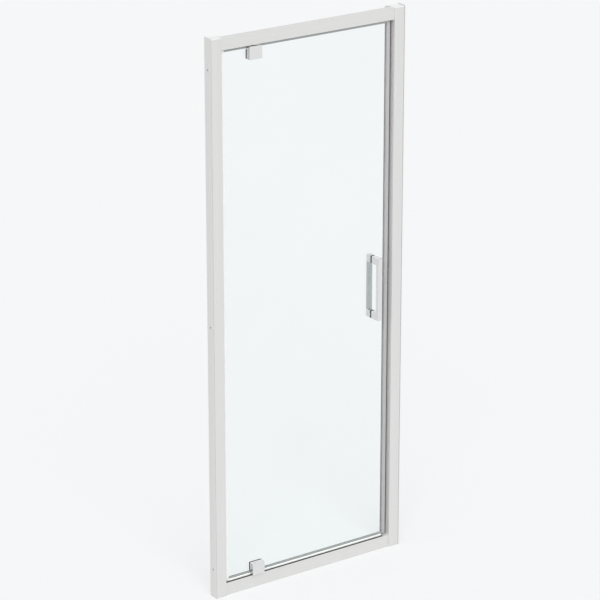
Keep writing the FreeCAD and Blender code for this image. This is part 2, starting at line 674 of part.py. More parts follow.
def glass_panel():
    """Toughened glass, notched for the two pivot blocks and drilled for the handle."""
    body = new_body("glass_panel")
    left = f"{PIVOT} - Sizes.notch_half"
    right = f"{PIVOT} + Sizes.notch_half"
    low_notch = f"{GLASS_BOTTOM} + Sizes.notch_depth"
    high_notch = f"{GLASS_TOP} - Sizes.notch_depth"
    outline = new_sketch(body, "XZ_Plane")
    corners = (
        (GLASS_LEFT, GLASS_BOTTOM),
        (left, GLASS_BOTTOM),
        (left, low_notch),
        (right, low_notch),
        (right, GLASS_BOTTOM),
        (GLASS_RIGHT, GLASS_BOTTOM),
        (GLASS_RIGHT, GLASS_TOP),
        (right, GLASS_TOP),
        (right, high_notch),
        (left, high_notch),
        (left, GLASS_TOP),
        (GLASS_LEFT, GLASS_TOP),
    )
    draw_outline(outline, corners)
    pad(body, outline, "Sizes.glass_thickness", midplane=True)
    holes = new_sketch(body, "XZ_Plane")
    for way in ("-", "+"):
        draw_circle(holes, HANDLE, f"Sizes.handle_centre {way} {STUD_RISE}", "Sizes.sleeve_radius")
    cut(body, holes, "Sizes.glass_thickness")
    notch = size("notch_half")
    pivot = size("pivot_inset") - size("door_width") / 2

    def notch_corner(middle, direction):
        """Whether an edge is at one of the corners deep in a notch."""
        beside = same(abs(middle.x - pivot), notch)
        low = size("bottom_rail_height") + size("glass_bottom_gap") + size("notch_depth")
        head = size("post_height") - size("top_rail_drop") - size("top_rail_height")
        high = head - size("glass_top_gap") - size("notch_depth")
        deep = same(middle.z, low) or same(middle.z, high)
        return runs_along(direction, Y_AXIS) and beside and deep

    round_edges(body, "Sizes.notch_round", notch_corner)


def plate_outline(face):
    """Half width and far edge of a pivot block's plate, in front of (-1) or behind (1) the glass."""
    inset = "0" if face < 0 else "Sizes.block_back_inset"
    return f"(Sizes.block_width / 2 - {inset})", f"(Sizes.pivot_gap + Sizes.block_height - {inset})"


def pivot_plate(label, face, place_at):
    """Plate of a pivot block, in front of (-1) or behind (1) the glass."""
    body = new_body(label)
    near = f"({HALF_GLASS} + Sizes.block_gasket)"
    thickness = "block_front" if face < 0 else "block_back"
    half, top = plate_outline(face)
    blank = new_sketch(body, "XZ_Plane", f"{face} * ({near} + Sizes.{thickness} / 2)")
    draw_box(blank, f"-{half}", half, "Sizes.pivot_gap", top)
    pad(body, blank, f"Sizes.{thickness}", midplane=True)
    pocket = new_sketch(body, "XZ_Plane", f"{face} * {near}")
    across = "(Sizes.carrier_half + Sizes.carrier_play)"
    pocket_low = "Sizes.carrier_low - Sizes.carrier_play"
    pocket_high = "Sizes.carrier_low + Sizes.carrier_height + Sizes.carrier_play"
    draw_box(pocket, f"-{across}", across, pocket_low, pocket_high)
    cut(body, pocket, f"Sizes.carrier_half_depth + Sizes.carrier_play - {near}")
    holes = new_sketch(body, "XZ_Plane", f"{face} * {near}")
    play = "thread_play" if face < 0 else "screw_play"
    for way in ("-", ""):
        radius = f"Sizes.clamp_radius + Sizes.{play}"
        draw_circle(holes, f"{way}Sizes.clamp_offset", "Sizes.clamp_height", radius)
    cut(body, holes, "Sizes.clamp_blind" if face < 0 else "2 * Sizes.block_back")
    if face > 0:
        sinks = new_sketch(body, "XZ_Plane", f"{near} + Sizes.block_back")
        for way in ("-", ""):
            radius = "Sizes.clamp_head_radius + Sizes.screw_play"
            draw_circle(sinks, f"{way}Sizes.clamp_offset", "Sizes.clamp_height", radius)
        cut(body, sinks, "Sizes.clamp_sink")
    inset = size("block_back_inset") if face > 0 else 0
    show = size("glass_thickness") / 2 + size("block_gasket") + size(thickness)
    side = size("block_width") / 2 - inset
    ends = (size("pivot_gap"), size("pivot_gap") + size("block_height") - inset)

    def shown_edge(middle, direction):
        """Whether an edge is round the plate's shown face or one of its four short corners."""
        outer = same(abs(middle.x), side) or same(middle.z, ends[0]) or same(middle.z, ends[1])
        on_face = same(middle.y * face, show)
        corner = runs_along(direction, Y_AXIS) and same(abs(middle.x), side)
        return (on_face and outer) or corner

    round_edges(body, "Sizes.block_round", shown_edge)
    place(body, *place_at)


def pivot_gasket(name, face):
    """Thin gasket between a plate and the glass, open round the notch."""
    near = f"{face} * {HALF_GLASS}"
    far = f"{face} * ({HALF_GLASS} + Sizes.block_gasket)"
    low, high = (far, near) if face < 0 else (near, far)
    half = "(Sizes.block_width / 2 - Sizes.gasket_inset)"
    bottom = "(Sizes.glass_bottom_gap + Sizes.level_leg + Sizes.end_gap)"
    top = "(Sizes.pivot_gap + Sizes.block_height - Sizes.gasket_inset)"
    plain = box(name + "_plain", (f"-{half}", low, bottom), (half, high, top))
    reach = "(Sizes.glass_bottom_gap + Sizes.notch_depth)"
    low_side = f"{low} - Sizes.block_gasket"
    high_side = f"{high} + Sizes.block_gasket"
    opening_low = ("-Sizes.notch_half", low_side, "0")
    opening_high = ("Sizes.notch_half", high_side, reach)
    return less(name, plain, box(name + "_opening", opening_low, opening_high))


def pivot_end(end, place_at):
    """Everything round one end of the pivot axis, drawn upward from the face of its rail."""
    pivot_plate(f"pivot_plate_outer_{end}", -1, place_at)
    pivot_plate(f"pivot_plate_inner_{end}", 1, place_at)

    carrier = box(
        f"carrier_block_{end}",
        ("-Sizes.carrier_half", "-Sizes.carrier_half_depth", "Sizes.carrier_low"),
        ("Sizes.carrier_half", "Sizes.carrier_half_depth", "Sizes.carrier_low + Sizes.carrier_height"),
    )
    seat = cylinder(
        f"carrier_bore_{end}",
        "Sizes.pin_radius + Sizes.press_play",
        "Sizes.carrier_height - Sizes.post_wall",
        z="Sizes.carrier_low",
    )
    keep(place(less(f"pin_carrier_{end}", carrier, seat), *place_at), f"pin_carrier_{end}")

    pin_top = "Sizes.carrier_low + Sizes.carrier_height - Sizes.post_wall - Sizes.press_play"
    pin_length = f"Sizes.pin_depth + {pin_top}"
    rod = cylinder(f"pin_rod_{end}", "Sizes.pin_radius", pin_length, z="-Sizes.pin_depth")
    pin = doc.addObject("Part::Chamfer", f"pivot_pin_{end}")
    pin.Base = rod
    doc.recompute()
    rings = [n for n, edge in enumerate(rod.Shape.Edges, 1) if len(edge.Vertexes) == 1]
    bevel = size("pin_radius") / 6
    pin.Edges = [(number, bevel, bevel) for number in rings]
    keep(place(pin, *place_at), f"pivot_pin_{end}")

    collar = cylinder(f"bush_collar_{end}", "Sizes.bush_flange_radius", "Sizes.bush_flange")
    bush_end = "-Sizes.bush_depth"
    barrel = cylinder(f"bush_barrel_{end}", "Sizes.bush_radius", "Sizes.bush_depth", z=bush_end)
    bore = cylinder(
        f"bush_bore_{end}",
        "Sizes.pin_radius + Sizes.pin_play",
        "Sizes.bush_depth + 2 * Sizes.bush_flange",
        z=bush_end,
    )
    bush = less(f"pivot_bush_{end}", fused(f"bush_blank_{end}", collar, barrel), bore)
    keep(place(bush, *place_at), f"pivot_bush_{end}")

    front = "(Sizes.insert_play + Sizes.rail_wall + Sizes.screw_port - Sizes.rail_front)"
    back = "(Sizes.rail_back - Sizes.rail_wall - Sizes.insert_play)"
    body = new_body(f"pivot_insert_{end}")
    outline = new_sketch(body, "XY_Plane", "-Sizes.rail_wall")
    draw_box(outline, "-Sizes.insert_half", "Sizes.insert_half", front, back)
    pad(body, outline, "Sizes.insert_height", backwards=True)
    bush_seat = new_sketch(body, "XY_Plane", "-Sizes.rail_wall")
    draw_circle(bush_seat, "0", "0", "Sizes.bush_radius + Sizes.press_play")
    cut(body, bush_seat, "Sizes.insert_height")
    threads = new_sketch(body, "XZ_Plane", back)
    for way in ("-", ""):
        height = "-Sizes.rail_wall - Sizes.insert_screw_depth"
        radius = "Sizes.adjust_radius + Sizes.thread_play"
        draw_circle(threads, f"{way}Sizes.insert_screw_offset", height, radius)
    cut(body, threads, "Sizes.insert_screw_length")
    place(body, *place_at)


def pivot_fixings():
    """Gaskets and screws of both pivot blocks, and the screws that hold the inserts."""
    ends = ((PIVOT, "0", SILL, NO_TURN), (PIVOT, "0", HEAD, UPSIDE_DOWN))
    for label, face in (("pivot_gaskets_outer", -1), ("pivot_gaskets_inner", 1)):
        group_of(label, pivot_gasket(label + "_one", face), ends)

    face = f"({HALF_GLASS} + Sizes.block_gasket + Sizes.block_back)"
    tip = f"({HALF_GLASS} + Sizes.block_gasket + Sizes.clamp_blind - Sizes.end_gap)"
    head_top = "(Sizes.clamp_head_height - Sizes.clamp_sink)"
    head = cylinder("clamp_head", "Sizes.clamp_head_radius", "Sizes.clamp_head_height", z="-Sizes.clamp_sink")
    length = f"{face} - Sizes.clamp_sink + {tip}"
    shank = cylinder("clamp_shank", "Sizes.clamp_radius", length, z=f"-{face} - {tip}")
    blank = fused("clamp_blank", head, shank)
    key = hex_recess("clamp_hexagon", "Sizes.clamp_key", "Sizes.clamp_key_depth", head_top)
    clamp = less("clamp_screw", blank, key)
    places = []
    for level in (f"{SILL} + Sizes.clamp_height", f"{HEAD} - Sizes.clamp_height"):
        for way in ("-", "+"):
            places.append((f"{PIVOT} {way} Sizes.clamp_offset", face, level, HEAD_BACK))
    group_of("clamp_screws", clamp, places)

    insert_screw = pan_screw("insert_screw", "Sizes.adjust_radius", "Sizes.insert_screw_length")
    drop = "(Sizes.rail_wall + Sizes.insert_screw_depth)"
    places = []
    for level in (f"{SILL} - {drop}", f"{HEAD} + {drop}"):
        for way in ("-", "+"):
            across = f"{PIVOT} {way} Sizes.insert_screw_offset"
            places.append((across, "Sizes.rail_back", level, HEAD_BACK))
    group_of("insert_screws", insert_screw, places)


def handle(label, face, reach, stud):
    """Square D handle, cut from one bar, in front of (-1) or behind (1) the glass."""
    body = new_body(label)
    near = f"{face} * ({HALF_GLASS} + Sizes.handle_gasket)"
    inner = f"{face} * ({HALF_GLASS} + {reach} - Sizes.handle_bar)"
    outer = f"{face} * ({HALF_GLASS} + {reach})"
    top = "Sizes.handle_centre + Sizes.handle_length / 2"
    bottom = "Sizes.handle_centre - Sizes.handle_length / 2"
    grip_top = f"{top} - Sizes.handle_leg"
    grip_bottom = f"{bottom} + Sizes.handle_leg"
    side_view = new_sketch(body, "YZ_Plane", HANDLE)
    corners = (
        (near, bottom),
        (outer, bottom),
        (outer, top),
        (near, top),
        (near, grip_top),
        (inner, grip_top),
        (inner, grip_bottom),
        (near, grip_bottom),
    )
    draw_outline(side_view, corners)
    pad(body, side_view, "Sizes.handle_width", midplane=True)
    stud_holes = new_sketch(body, "XZ_Plane", near)
    for way in ("-", "+"):
        level = f"Sizes.handle_centre {way} {STUD_RISE}"
        draw_circle(stud_holes, HANDLE, level, "Sizes.stud_radius + Sizes.sleeve_play")
    cut(body, stud_holes, f"{stud} + Sizes.thread_play")
    if face > 0:
        for way in ("-", "+"):
            middle = f"Sizes.handle_centre {way} {STUD_RISE}"
            grub_hole = new_sketch(body, "XY_Plane", f"{middle} - Sizes.handle_leg / 2")
            radius = "Sizes.grub_radius + Sizes.thread_play"
            draw_circle(grub_hole, HANDLE, GRUB_Y, radius)
            cut(body, grub_hole, "Sizes.handle_leg / 2")
    far = size("glass_thickness") / 2 + size("handle_reach_out" if face < 0 else "handle_reach_in")
    ends = [size("handle_centre") + way * size("handle_length") / 2 for way in (-1, 1)]

    def outside_edge(middle, direction):
        """Whether an edge lies round the handle's far face or along its two ends."""
        on_far_face = same(middle.y * face, far)
        at_end = same(middle.z, ends[0]) or same(middle.z, ends[1])
        return on_far_face or (at_end and not runs_along(direction, X_AXIS))

    round_edges(body, "Sizes.handle_round", outside_edge)


GRUB_Y = f"({HALF_GLASS} + Sizes.handle_gasket + Sizes.stud_in / 2)"


def handle_fixings():
    """Studs, sleeves, gaskets and grub screws that clamp the two handles to the glass."""
    levels = [f"Sizes.handle_centre {way} {STUD_RISE}" for way in ("-", "+")]
    places = [(HANDLE, "0", level, HEAD_BACK) for level in levels]
    gasket = f"({HALF_GLASS} + Sizes.handle_gasket)"
    front = f"({gasket} + Sizes.stud_out)"
    length = f"{front} + {gasket} + Sizes.stud_in"
    stud = cylinder("handle_stud", "Sizes.stud_radius", length, z=f"-{front}")
    group_of("handle_studs", stud, places)

    radius = "Sizes.sleeve_radius - Sizes.sleeve_play"
    outside = cylinder("sleeve_outside", radius, "Sizes.glass_thickness", z=f"-{HALF_GLASS}")
    radius = "Sizes.stud_radius + Sizes.sleeve_play"
    bore = cylinder("sleeve_bore", radius, "2 * Sizes.glass_thickness", z="-Sizes.glass_thickness")
    group_of("handle_sleeves", less("handle_sleeve", outside, bore), places)

    half = "Sizes.handle_width / 2"
    rise = "Sizes.handle_leg / 2"
    pads = []
    for number, (low, high) in enumerate(((f"-{gasket}", f"-{HALF_GLASS}"), (HALF_GLASS, gasket))):
        name = f"handle_pad_{number}"
        blank = box(name + "_blank", (f"-{half}", f"-{rise}", low), (half, rise, high))
        radius = "Sizes.stud_radius + Sizes.screw_play"
        hole = cylinder(name + "_hole", radius, f"4 * {gasket}", z=f"-2 * {gasket}")
        pads.append(less(name, blank, hole))
    group_of("handle_gaskets_outer", pads[0], places)
    group_of("handle_gaskets_inner", pads[1], places)

    length = "(Sizes.handle_leg / 2 - Sizes.grub_sink - Sizes.stud_radius - Sizes.press_play)"
    rod = cylinder("grub_rod", "Sizes.grub_radius", length, z=f"-{length}")
    key = hex_recess("grub_hexagon", "Sizes.grub_key", "Sizes.grub_radius", "0")
    grub = less("grub_screw", rod, key)
    places = []
    for level in levels:
        mouth = f"{level} - Sizes.handle_leg / 2 + Sizes.grub_sink"
        places.append((HANDLE, GRUB_Y, mouth, HEAD_DOWN))
    group_of("grub_screws", grub, places)


def pivot_edge_seal():
    """Clear channel pushed on the glass edge beside the left post."""
    body = new_body("pivot_edge_seal")
    face = f"({HALF_GLASS} + Sizes.seal_play)"
    skin = f"({face} + Sizes.seal_skin)"
    end = f"{GLASS_LEFT} - Sizes.seal_base"
    grip = f"{GLASS_LEFT} + Sizes.seal_leg"
    inner = f"{GLASS_LEFT} - Sizes.seal_play"
    section = new_sketch(body, "XY_Plane", GLASS_BOTTOM)
    corners = (
        (end, f"-{skin}"),
        (grip, f"-{skin}"),
        (grip, f"-{face}"),
        (inner, f"-{face}"),
        (inner, face),
        (grip, face),
        (grip, skin),
        (end, skin),
    )
    draw_outline(section, corners)
    pad(body, section, f"{GLASS_TOP} - {GLASS_BOTTOM}")


def closing_edge_seal():
    """Grey channel on the glass edge beside the strike, with the door's magnet in its back leg."""
    body = new_body("closing_edge_seal")
    face = f"({HALF_GLASS} + Sizes.seal_play)"
    front = f"({face} + Sizes.seal_skin)"
    back = f"({face} + Sizes.closing_pocket)"
    end = f"{GLASS_RIGHT} + Sizes.seal_base"
    grip = f"{GLASS_RIGHT} - Sizes.closing_leg"
    inner = f"{GLASS_RIGHT} + Sizes.seal_play"
    section = new_sketch(body, "XY_Plane", GLASS_BOTTOM)
    corners = (
        (grip, f"-{front}"),
        (end, f"-{front}"),
        (end, back),
        (grip, back),
        (grip, face),
        (inner, face),
        (inner, f"-{face}"),
        (grip, f"-{face}"),
    )
    draw_outline(section, corners)
    pocket_front = f"{MAGNET_Y} - Sizes.thread_play"
    pocket_back = f"{MAGNET_Y} + Sizes.magnet_thickness + Sizes.thread_play"
    pocket_left = f"{MAGNET_X} - Sizes.thread_play"
    pocket_right = f"{MAGNET_X} + Sizes.magnet_width + Sizes.thread_play"
    draw_box(section, pocket_left, pocket_right, pocket_front, pocket_back)
    pad(body, section, f"{GLASS_TOP} - {GLASS_BOTTOM}")


MAGNET_X = f"({STRIKE_LEFT} + Sizes.magnet_inset)"
MAGNET_Y = f"({HALF_GLASS} + Sizes.seal_play + (Sizes.closing_pocket - Sizes.magnet_thickness) / 2)"


def magnets():
    """Magnet strip in the door's seal, and the one it meets on the strike profile."""
    right = f"{MAGNET_X} + Sizes.magnet_width"
    low = (MAGNET_X, MAGNET_Y, GLASS_BOTTOM)
    high = (right, f"{MAGNET_Y} + Sizes.magnet_thickness", GLASS_TOP)
    keep(box("door_magnet", low, high), "door_magnet")
    low = (MAGNET_X, f"{FLANGE_FRONT} - Sizes.frame_magnet_thickness", f"{SILL} + Sizes.end_gap")
    high = (right, FLANGE_FRONT, f"{HEAD} - Sizes.end_gap")
    keep(box("frame_magnet", low, high), "frame_magnet")


def level_seal(label, edge, way, lip):
    """Clear channel on the top or bottom edge of the glass, in two lengths beside the notch."""
    body = new_body(label)
    face = f"({HALF_GLASS} + Sizes.seal_play)"
    skin = f"({face} + Sizes.seal_skin)"
    grip = f"{edge} + {way} * Sizes.level_leg"
    inner = f"{edge} - {way} * Sizes.seal_play"
    back = f"{edge} - {way} * Sizes.seal_base"
    lip_half = "Sizes.wiper_lip / 2"
    left = f"({GLASS_LEFT} + Sizes.seal_leg + Sizes.end_gap)"
    right = f"({GLASS_RIGHT} - Sizes.closing_leg - Sizes.end_gap)"
    section = new_sketch(body, "YZ_Plane", left)
    corners = (
        (f"-{skin}", back),
        (f"-{lip_half}", back),
        (f"-{lip_half}", lip),
        (lip_half, lip),
        (lip_half, back),
        (skin, back),
        (skin, grip),
        (face, grip),
        (face, inner),
        (f"-{face}", inner),
        (f"-{face}", grip),
        (f"-{skin}", grip),
    )
    draw_outline(section, corners)
    pad(body, section, f"{right} - {left}")
    notch_room = new_sketch(body, "XZ_Plane")
    half = "(Sizes.notch_half + Sizes.end_gap)"
    reach = "2 * Sizes.seal_leg"
    room_left = f"{PIVOT} - {half}"
    room_right = f"{PIVOT} + {half}"
    draw_box(notch_room, room_left, room_right, f"{edge} - {reach}", f"{edge} + {reach}")
    cut(body, notch_room, "Sizes.post_depth")


def pivot_side_bulb():
    """Hollow bulb on the left post that fills the gap beside the pivot-side glass edge."""
    body = new_body("pivot_side_bulb")
    left = LEFT_POST
    right = f"{LEFT_POST} + Sizes.flange_reach"
    front = "-Sizes.bulb_front"
    skin = "Sizes.bulb_skin"
    section = new_sketch(body, "XY_Plane", SILL)
    draw_box(section, left, right, front, FLANGE_FRONT)
    across = (f"{left} + {skin}", f"{right} - {skin}")
    draw_box(section, *across, f"{front} + {skin}", f"{FLANGE_FRONT} - {skin}")
    pad(body, section, f"{HEAD} - {SILL}")


def sill_strip():
    """Rubber strip on the front of the bottom rail, notched round the pivot bush."""
    low = (f"{LEFT_POST} + Sizes.end_gap", "Sizes.sill_front - Sizes.rail_front", SILL)
    right = f"{GLASS_RIGHT} - Sizes.closing_leg - Sizes.end_gap"
    high = (right, "-Sizes.sill_back", f"{SILL} + Sizes.sill_thickness")
    plain = box("sill_plain", low, high)
    room = "Sizes.bush_flange_radius + Sizes.end_gap"
    below = f"{SILL} - Sizes.sill_thickness"
    notch = cylinder("sill_notch", room, "4 * Sizes.sill_thickness", PIVOT, "0", below)
    keep(less("sill_strip", plain, notch), "sill_strip")


def check_and_export():
    """Refuse a failed or empty shape, then write one file for each piece."""
    doc.recompute()
    for item in doc.Objects:
        if "Invalid" in item.State or "Error" in item.State:
            raise RuntimeError(f"{item.Label} failed: {item.State}")
    for item in subparts:
        if item.Shape.isNull() or not item.Shape.isValid() or not item.Shape.Solids:
            raise RuntimeError(f"{item.Label} has no valid solid")
    os.makedirs("parts", exist_ok=True)
    for item in subparts:
        item.Shape.exportStep(f"parts/{item.Label}.step")
        print(f"{item.Label}: {len(item.Shape.Solids)} solid(s), {item.Shape.Volume / 1000:.2f} cm3")


fill_sheet()
for name, side in (("left", -1), ("right", 1)):
    wall_channel(f"wall_channel_{name}", side)
    post(f"post_{name}", side)
    post_cap(f"post_cap_{name}", side)
rail("top_rail", HEAD, HEAD_TOP, HEAD)
rail("bottom_rail", "0", SILL, SILL)
strike_profile()
strike_buffer()
frame_screws()
pivot_side_bulb()
sill_strip()
glass_panel()
pivot_end("bottom", (PIVOT, "0", SILL, NO_TURN))
pivot_end("top", (PIVOT, "0", HEAD, UPSIDE_DOWN))
pivot_fixings()
handle("handle_outer", -1, "Sizes.handle_reach_out", "Sizes.stud_out")
handle("handle_inner", 1, "Sizes.handle_reach_in", "Sizes.stud_in")
handle_fixings()
pivot_edge_seal()
closing_edge_seal()
magnets()
level_seal("bottom_wiper", GLASS_BOTTOM, 1, f"{SILL} + Sizes.wiper_gap")
level_seal("top_seal", GLASS_TOP, -1, f"{HEAD} - Sizes.wiper_gap")
check_and_export()
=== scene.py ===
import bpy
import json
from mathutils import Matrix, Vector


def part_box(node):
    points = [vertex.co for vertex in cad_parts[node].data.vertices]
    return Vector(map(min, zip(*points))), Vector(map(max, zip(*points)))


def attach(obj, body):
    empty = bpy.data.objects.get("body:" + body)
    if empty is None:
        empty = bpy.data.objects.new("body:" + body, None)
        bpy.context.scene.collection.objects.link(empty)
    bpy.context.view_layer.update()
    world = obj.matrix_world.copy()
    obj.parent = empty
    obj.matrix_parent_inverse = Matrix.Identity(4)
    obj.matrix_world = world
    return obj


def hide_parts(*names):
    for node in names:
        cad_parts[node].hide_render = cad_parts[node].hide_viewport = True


bl_info = {
    "name": "Pivot shower door",
    "version": (1, 0, 0),
    "blender": (4, 5, 0),
    "location": "3D View > Sidebar > Shower door",
    "description": "Dresses a pivot shower door with its glass, seals, handles, fixings and finishes",
    "category": "Object",
}

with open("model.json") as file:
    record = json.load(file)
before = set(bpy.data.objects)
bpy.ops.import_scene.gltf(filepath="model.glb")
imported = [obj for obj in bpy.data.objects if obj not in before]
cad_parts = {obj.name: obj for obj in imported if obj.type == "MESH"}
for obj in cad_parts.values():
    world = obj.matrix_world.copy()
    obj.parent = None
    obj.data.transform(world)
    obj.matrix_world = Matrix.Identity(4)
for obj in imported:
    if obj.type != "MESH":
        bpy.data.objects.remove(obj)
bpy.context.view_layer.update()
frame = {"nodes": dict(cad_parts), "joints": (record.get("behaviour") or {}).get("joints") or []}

import json
import math

import bmesh
import bpy
from mathutils import Matrix, Vector

PIVOT_X = frame["joints"][0]["pos_m"][0]
# Ways to stand up a drawing made in X and Y: the axis that its thickness lies along, and the turn.
FROM_FRONT = (1, Matrix(((1, 0, 0, 0), (0, 0, -1, 0), (0, 1, 0, 0), (0, 0, 0, 1))))
FROM_LEFT = (0, Matrix(((0, 0, 1, 0), (1, 0, 0, 0), (0, 1, 0, 0), (0, 0, 0, 1))))
FROM_ABOVE = (2, Matrix.Identity(4))
# Ways to draw a strip's section and run it on: across, up and along.
UPRIGHT = (Vector((1, 0, 0)), Vector((0, 1, 0)), Vector((0, 0, 1)))
LEVEL = (Vector((0, 1, 0)), Vector((0, 0, 1)), Vector((1, 0, 0)))
FACING_BACK = Matrix.Rotation(math.radians(-90), 4, "X")
FACING_LEFT = Matrix.Rotation(math.radians(-90), 4, "Y")
FACING_DOWN = Matrix.Rotation(math.radians(180), 4, "X")

# Corner radii, in metres.
GLASS_CORNER = 0.0012
PLATE_CORNER = 0.0012
HANDLE_CORNER = 0.0015
HANDLE_INSIDE_CORNER = 0.0012
# Gaps between neighbours, in metres: beside a strip, the bush, the magnet in its seal and a stud.
STRIP_ROOM = 0.0005
BUSH_ROOM = 0.0006
MAGNET_ROOM = 0.00005
STUD_ROOM = 0.00002

# The floor, in metres, and how bright the floor and the room look where they are seen directly.
FLOOR_RADIUS = 80
FLOOR_DROP = 0.0005
SEEN_FLOOR = (0.985, 0.993, 0.997, 1)
SEEN_ROOM = (0.985, 0.992, 1, 1)
SEEN_ROOM_STRENGTH = 0.95
# The sun lamps: name, the setting for its strength, spread and turns about X, Y and Z in degrees.
LAMPS = (("Key lamp", "key", 40, (48, 0, -28)), ("Side lamp", "side", 60, (55, 0, -80)))
# The photograph's viewpoint: place and reach in metres, turns in degrees, lens in millimetres.
CAMERA_PLACE = (-5.0575, -7.1856, 4.1645)
CAMERA_TURNS = (70, 0, -35)
CAMERA_LENS = 172.05
CAMERA_REACH = 300


# ---- node helpers


def feed(tree, item, inputs):
    """Fill a node's inputs, given by name or number, with values or other nodes' sockets."""
    for key, value in inputs.items():
        if isinstance(value, bpy.types.NodeSocket):
            tree.links.new(value, item.inputs[key])
        else:
            item.inputs[key].default_value = value


def add_node(tree, kind, inputs=None, **options):
    """Add a node, set its options and fill its inputs."""
    item = tree.nodes.new(kind)
    for name, value in options.items():
        setattr(item, name, value)
    feed(tree, item, inputs or {})
    return item


def maths(tree, operation, first, second=0.0, clamp=False):
    """One arithmetic step on two values or sockets."""
    item = add_node(tree, "ShaderNodeMath", {0: first, 1: second}, operation=operation, use_clamp=clamp)
    return item.outputs[0]


def object_place(tree):
    """Where a point lies on its piece, in metres."""
    return add_node(tree, "ShaderNodeTexCoord").outputs["Object"]


def noise(tree, place, scale, detail, inputs=None):
    """How strong a noise pattern is at a place."""
    values = {"Vector": place, "Scale": scale, "Detail": detail, **(inputs or {})}
    return add_node(tree, "ShaderNodeTexNoise", values).outputs["Fac"]


def bumped(tree, height, normal, strength, distance):
    """A normal with fine relief on it."""
    values = {"Strength": strength, "Distance": distance, "Height": height, "Normal": normal}
    return add_node(tree, "ShaderNodeBump", values).outputs[0]


def drawn_grain(tree, given):
    """Fine lines along an extrusion: a height for bump and a slow band for colour."""
    factors = {0: object_place(tree), 1: given["Stretch"]}
    place = add_node(tree, "ShaderNodeVectorMath", factors, operation="MULTIPLY").outputs[0]
    return {
        "Height": noise(tree, place, 1.0, 3.0, {"Roughness": 0.6}),
        "Band": noise(tree, place, given["Bands"], 2.0),
    }


def soft_edges(tree, given):
    """Rounds the shading of edges, and marks them for the painted edge highlights."""
    bevel = add_node(tree, "ShaderNodeBevel", {"Radius": given["Radius"]}, samples=4).outputs[0]
    surface = add_node(tree, "ShaderNodeNewGeometry").outputs["Normal"]
    alike = add_node(tree, "ShaderNodeVectorMath", {0: bevel, 1: surface}, operation="DOT_PRODUCT")
    away = maths(tree, "SUBTRACT", 1.0, alike.outputs["Value"])
    return {"Edge": maths(tree, "MULTIPLY", away, 6.0, clamp=True), "Normal": bevel}


def handling_marks(tree, given):
    """Faint smears and specks that change how a clean surface shines."""
    place = object_place(tree)
    return {
        "Smear": noise(tree, place, given["Smear size"], 4.0, {"Distortion": 0.8}),
        "Speck": noise(tree, place, given["Speck size"], 1.0),
    }


def new_group(name, inputs, fill):
    """A shader group whose nodes come from fill(tree, given), which returns the group's outputs."""
    tree = bpy.data.node_groups.new(name, "ShaderNodeTree")
    for label, value in inputs.items():
        kind = "NodeSocketFloat" if isinstance(value, float) else "NodeSocketVector"
        tree.interface.new_socket(label, in_out="INPUT", socket_type=kind)
    outputs = fill(tree, tree.nodes.new("NodeGroupInput").outputs)
    for label, socket in outputs.items():
        kind = "NodeSocketFloat" if socket.type == "VALUE" else "NodeSocketVector"
        tree.interface.new_socket(label, in_out="OUTPUT", socket_type=kind)
    feed(tree, tree.nodes.new("NodeGroupOutput"), outputs)
    return tree


def use_group(tree, fill, inputs):
    """The outputs of a shared group in a material, with the material's own values. The first use makes it."""
    name = fill.__name__.replace("_", " ").capitalize()
    group = bpy.data.node_groups.get(name) or new_group(name, inputs, fill)
    return add_node(tree, "ShaderNodeGroup", inputs, node_tree=group).outputs


def shine_groups(tree, radius, smear, speck=900.0):
    """The two groups that every opaque finish has: its edges and its marks."""
    edges = use_group(tree, soft_edges, {"Radius": radius})
    return edges, use_group(tree, handling_marks, {"Smear size": smear, "Speck size": speck})


def between(tree, factor, low, high):
    """A value that goes from low to high as factor goes from 0 to 1."""
    ramp = add_node(tree, "ShaderNodeMapRange", {"Value": factor, "To Min": low, "To Max": high})
    return ramp.outputs["Result"]


def tinted(tree, factor, first, second):
    """A colour that goes from first, a colour or a socket, to second as factor goes from 0 to 1."""
    start = first if isinstance(first, bpy.types.NodeSocket) else (*first, 1)
    mix = add_node(tree, "ShaderNodeMix", {"Factor": factor, "A": start, "B": (*second, 1)}, data_type="RGBA")
    return mix.outputs["Result"]


def shifted(colour, amount):
    """A colour made lighter or darker by a factor."""
    return tuple(min(1.0, part * amount) for part in colour[:3])


def new_material(name):
    """A material with an empty surface: returns the material, its tree and its Principled shader."""
    material = bpy.data.materials.get(name) or bpy.data.materials.new(name)
    material.use_nodes = True
    tree = material.node_tree
    tree.nodes.clear()
    shader = add_node(tree, "ShaderNodeBsdfPrincipled")
    output = add_node(tree, "ShaderNodeOutputMaterial")
    tree.links.new(shader.outputs[0], output.inputs["Surface"])
    return material, tree, shader


def blend_in(tree, share, first, second):
    """Show a mix of two shaders instead of the first alone."""
    blend = add_node(tree, "ShaderNodeMixShader", {0: share, 1: first.outputs[0], 2: second.outputs[0]})
    output = [item for item in tree.nodes if item.type == "OUTPUT_MATERIAL"][0]
    tree.links.new(blend.outputs[0], output.inputs["Surface"])


# ---- finishes


def satin_metal(name, colour, stretch, roughness=0.42, metallic=0.15, bump=0.05):
    """Satin metal with fine drawn lines, slow bands of tone and a painted highlight along its edges."""
    material, tree, shader = new_material(name)
    grain = use_group(tree, drawn_grain, {"Stretch": stretch, "Bands": 0.06})
    edges, marks = shine_groups(tree, 0.0004, 7.0)
    body = tinted(tree, grain["Band"], shifted(colour, 0.96), shifted(colour, 1.04))
    # Painted highlight: edges are drawn lighter than the body, standing for light caught on them.
    grain_with_edge_highlight = tinted(tree, edges["Edge"], body, shifted(colour, 1.25))
    fine = between(tree, grain["Height"], roughness - 0.05, roughness + 0.05)
    worn = between(tree, marks["Smear"], -0.04, 0.04)
    sheen = maths(tree, "ADD", fine, worn, clamp=True)
    lines = bumped(tree, grain["Height"], edges["Normal"], bump, 0.0002)
    feed(tree, shader, {"Base Color": grain_with_edge_highlight, "Roughness": sheen, "Normal": lines, "Metallic": metallic})
    return material


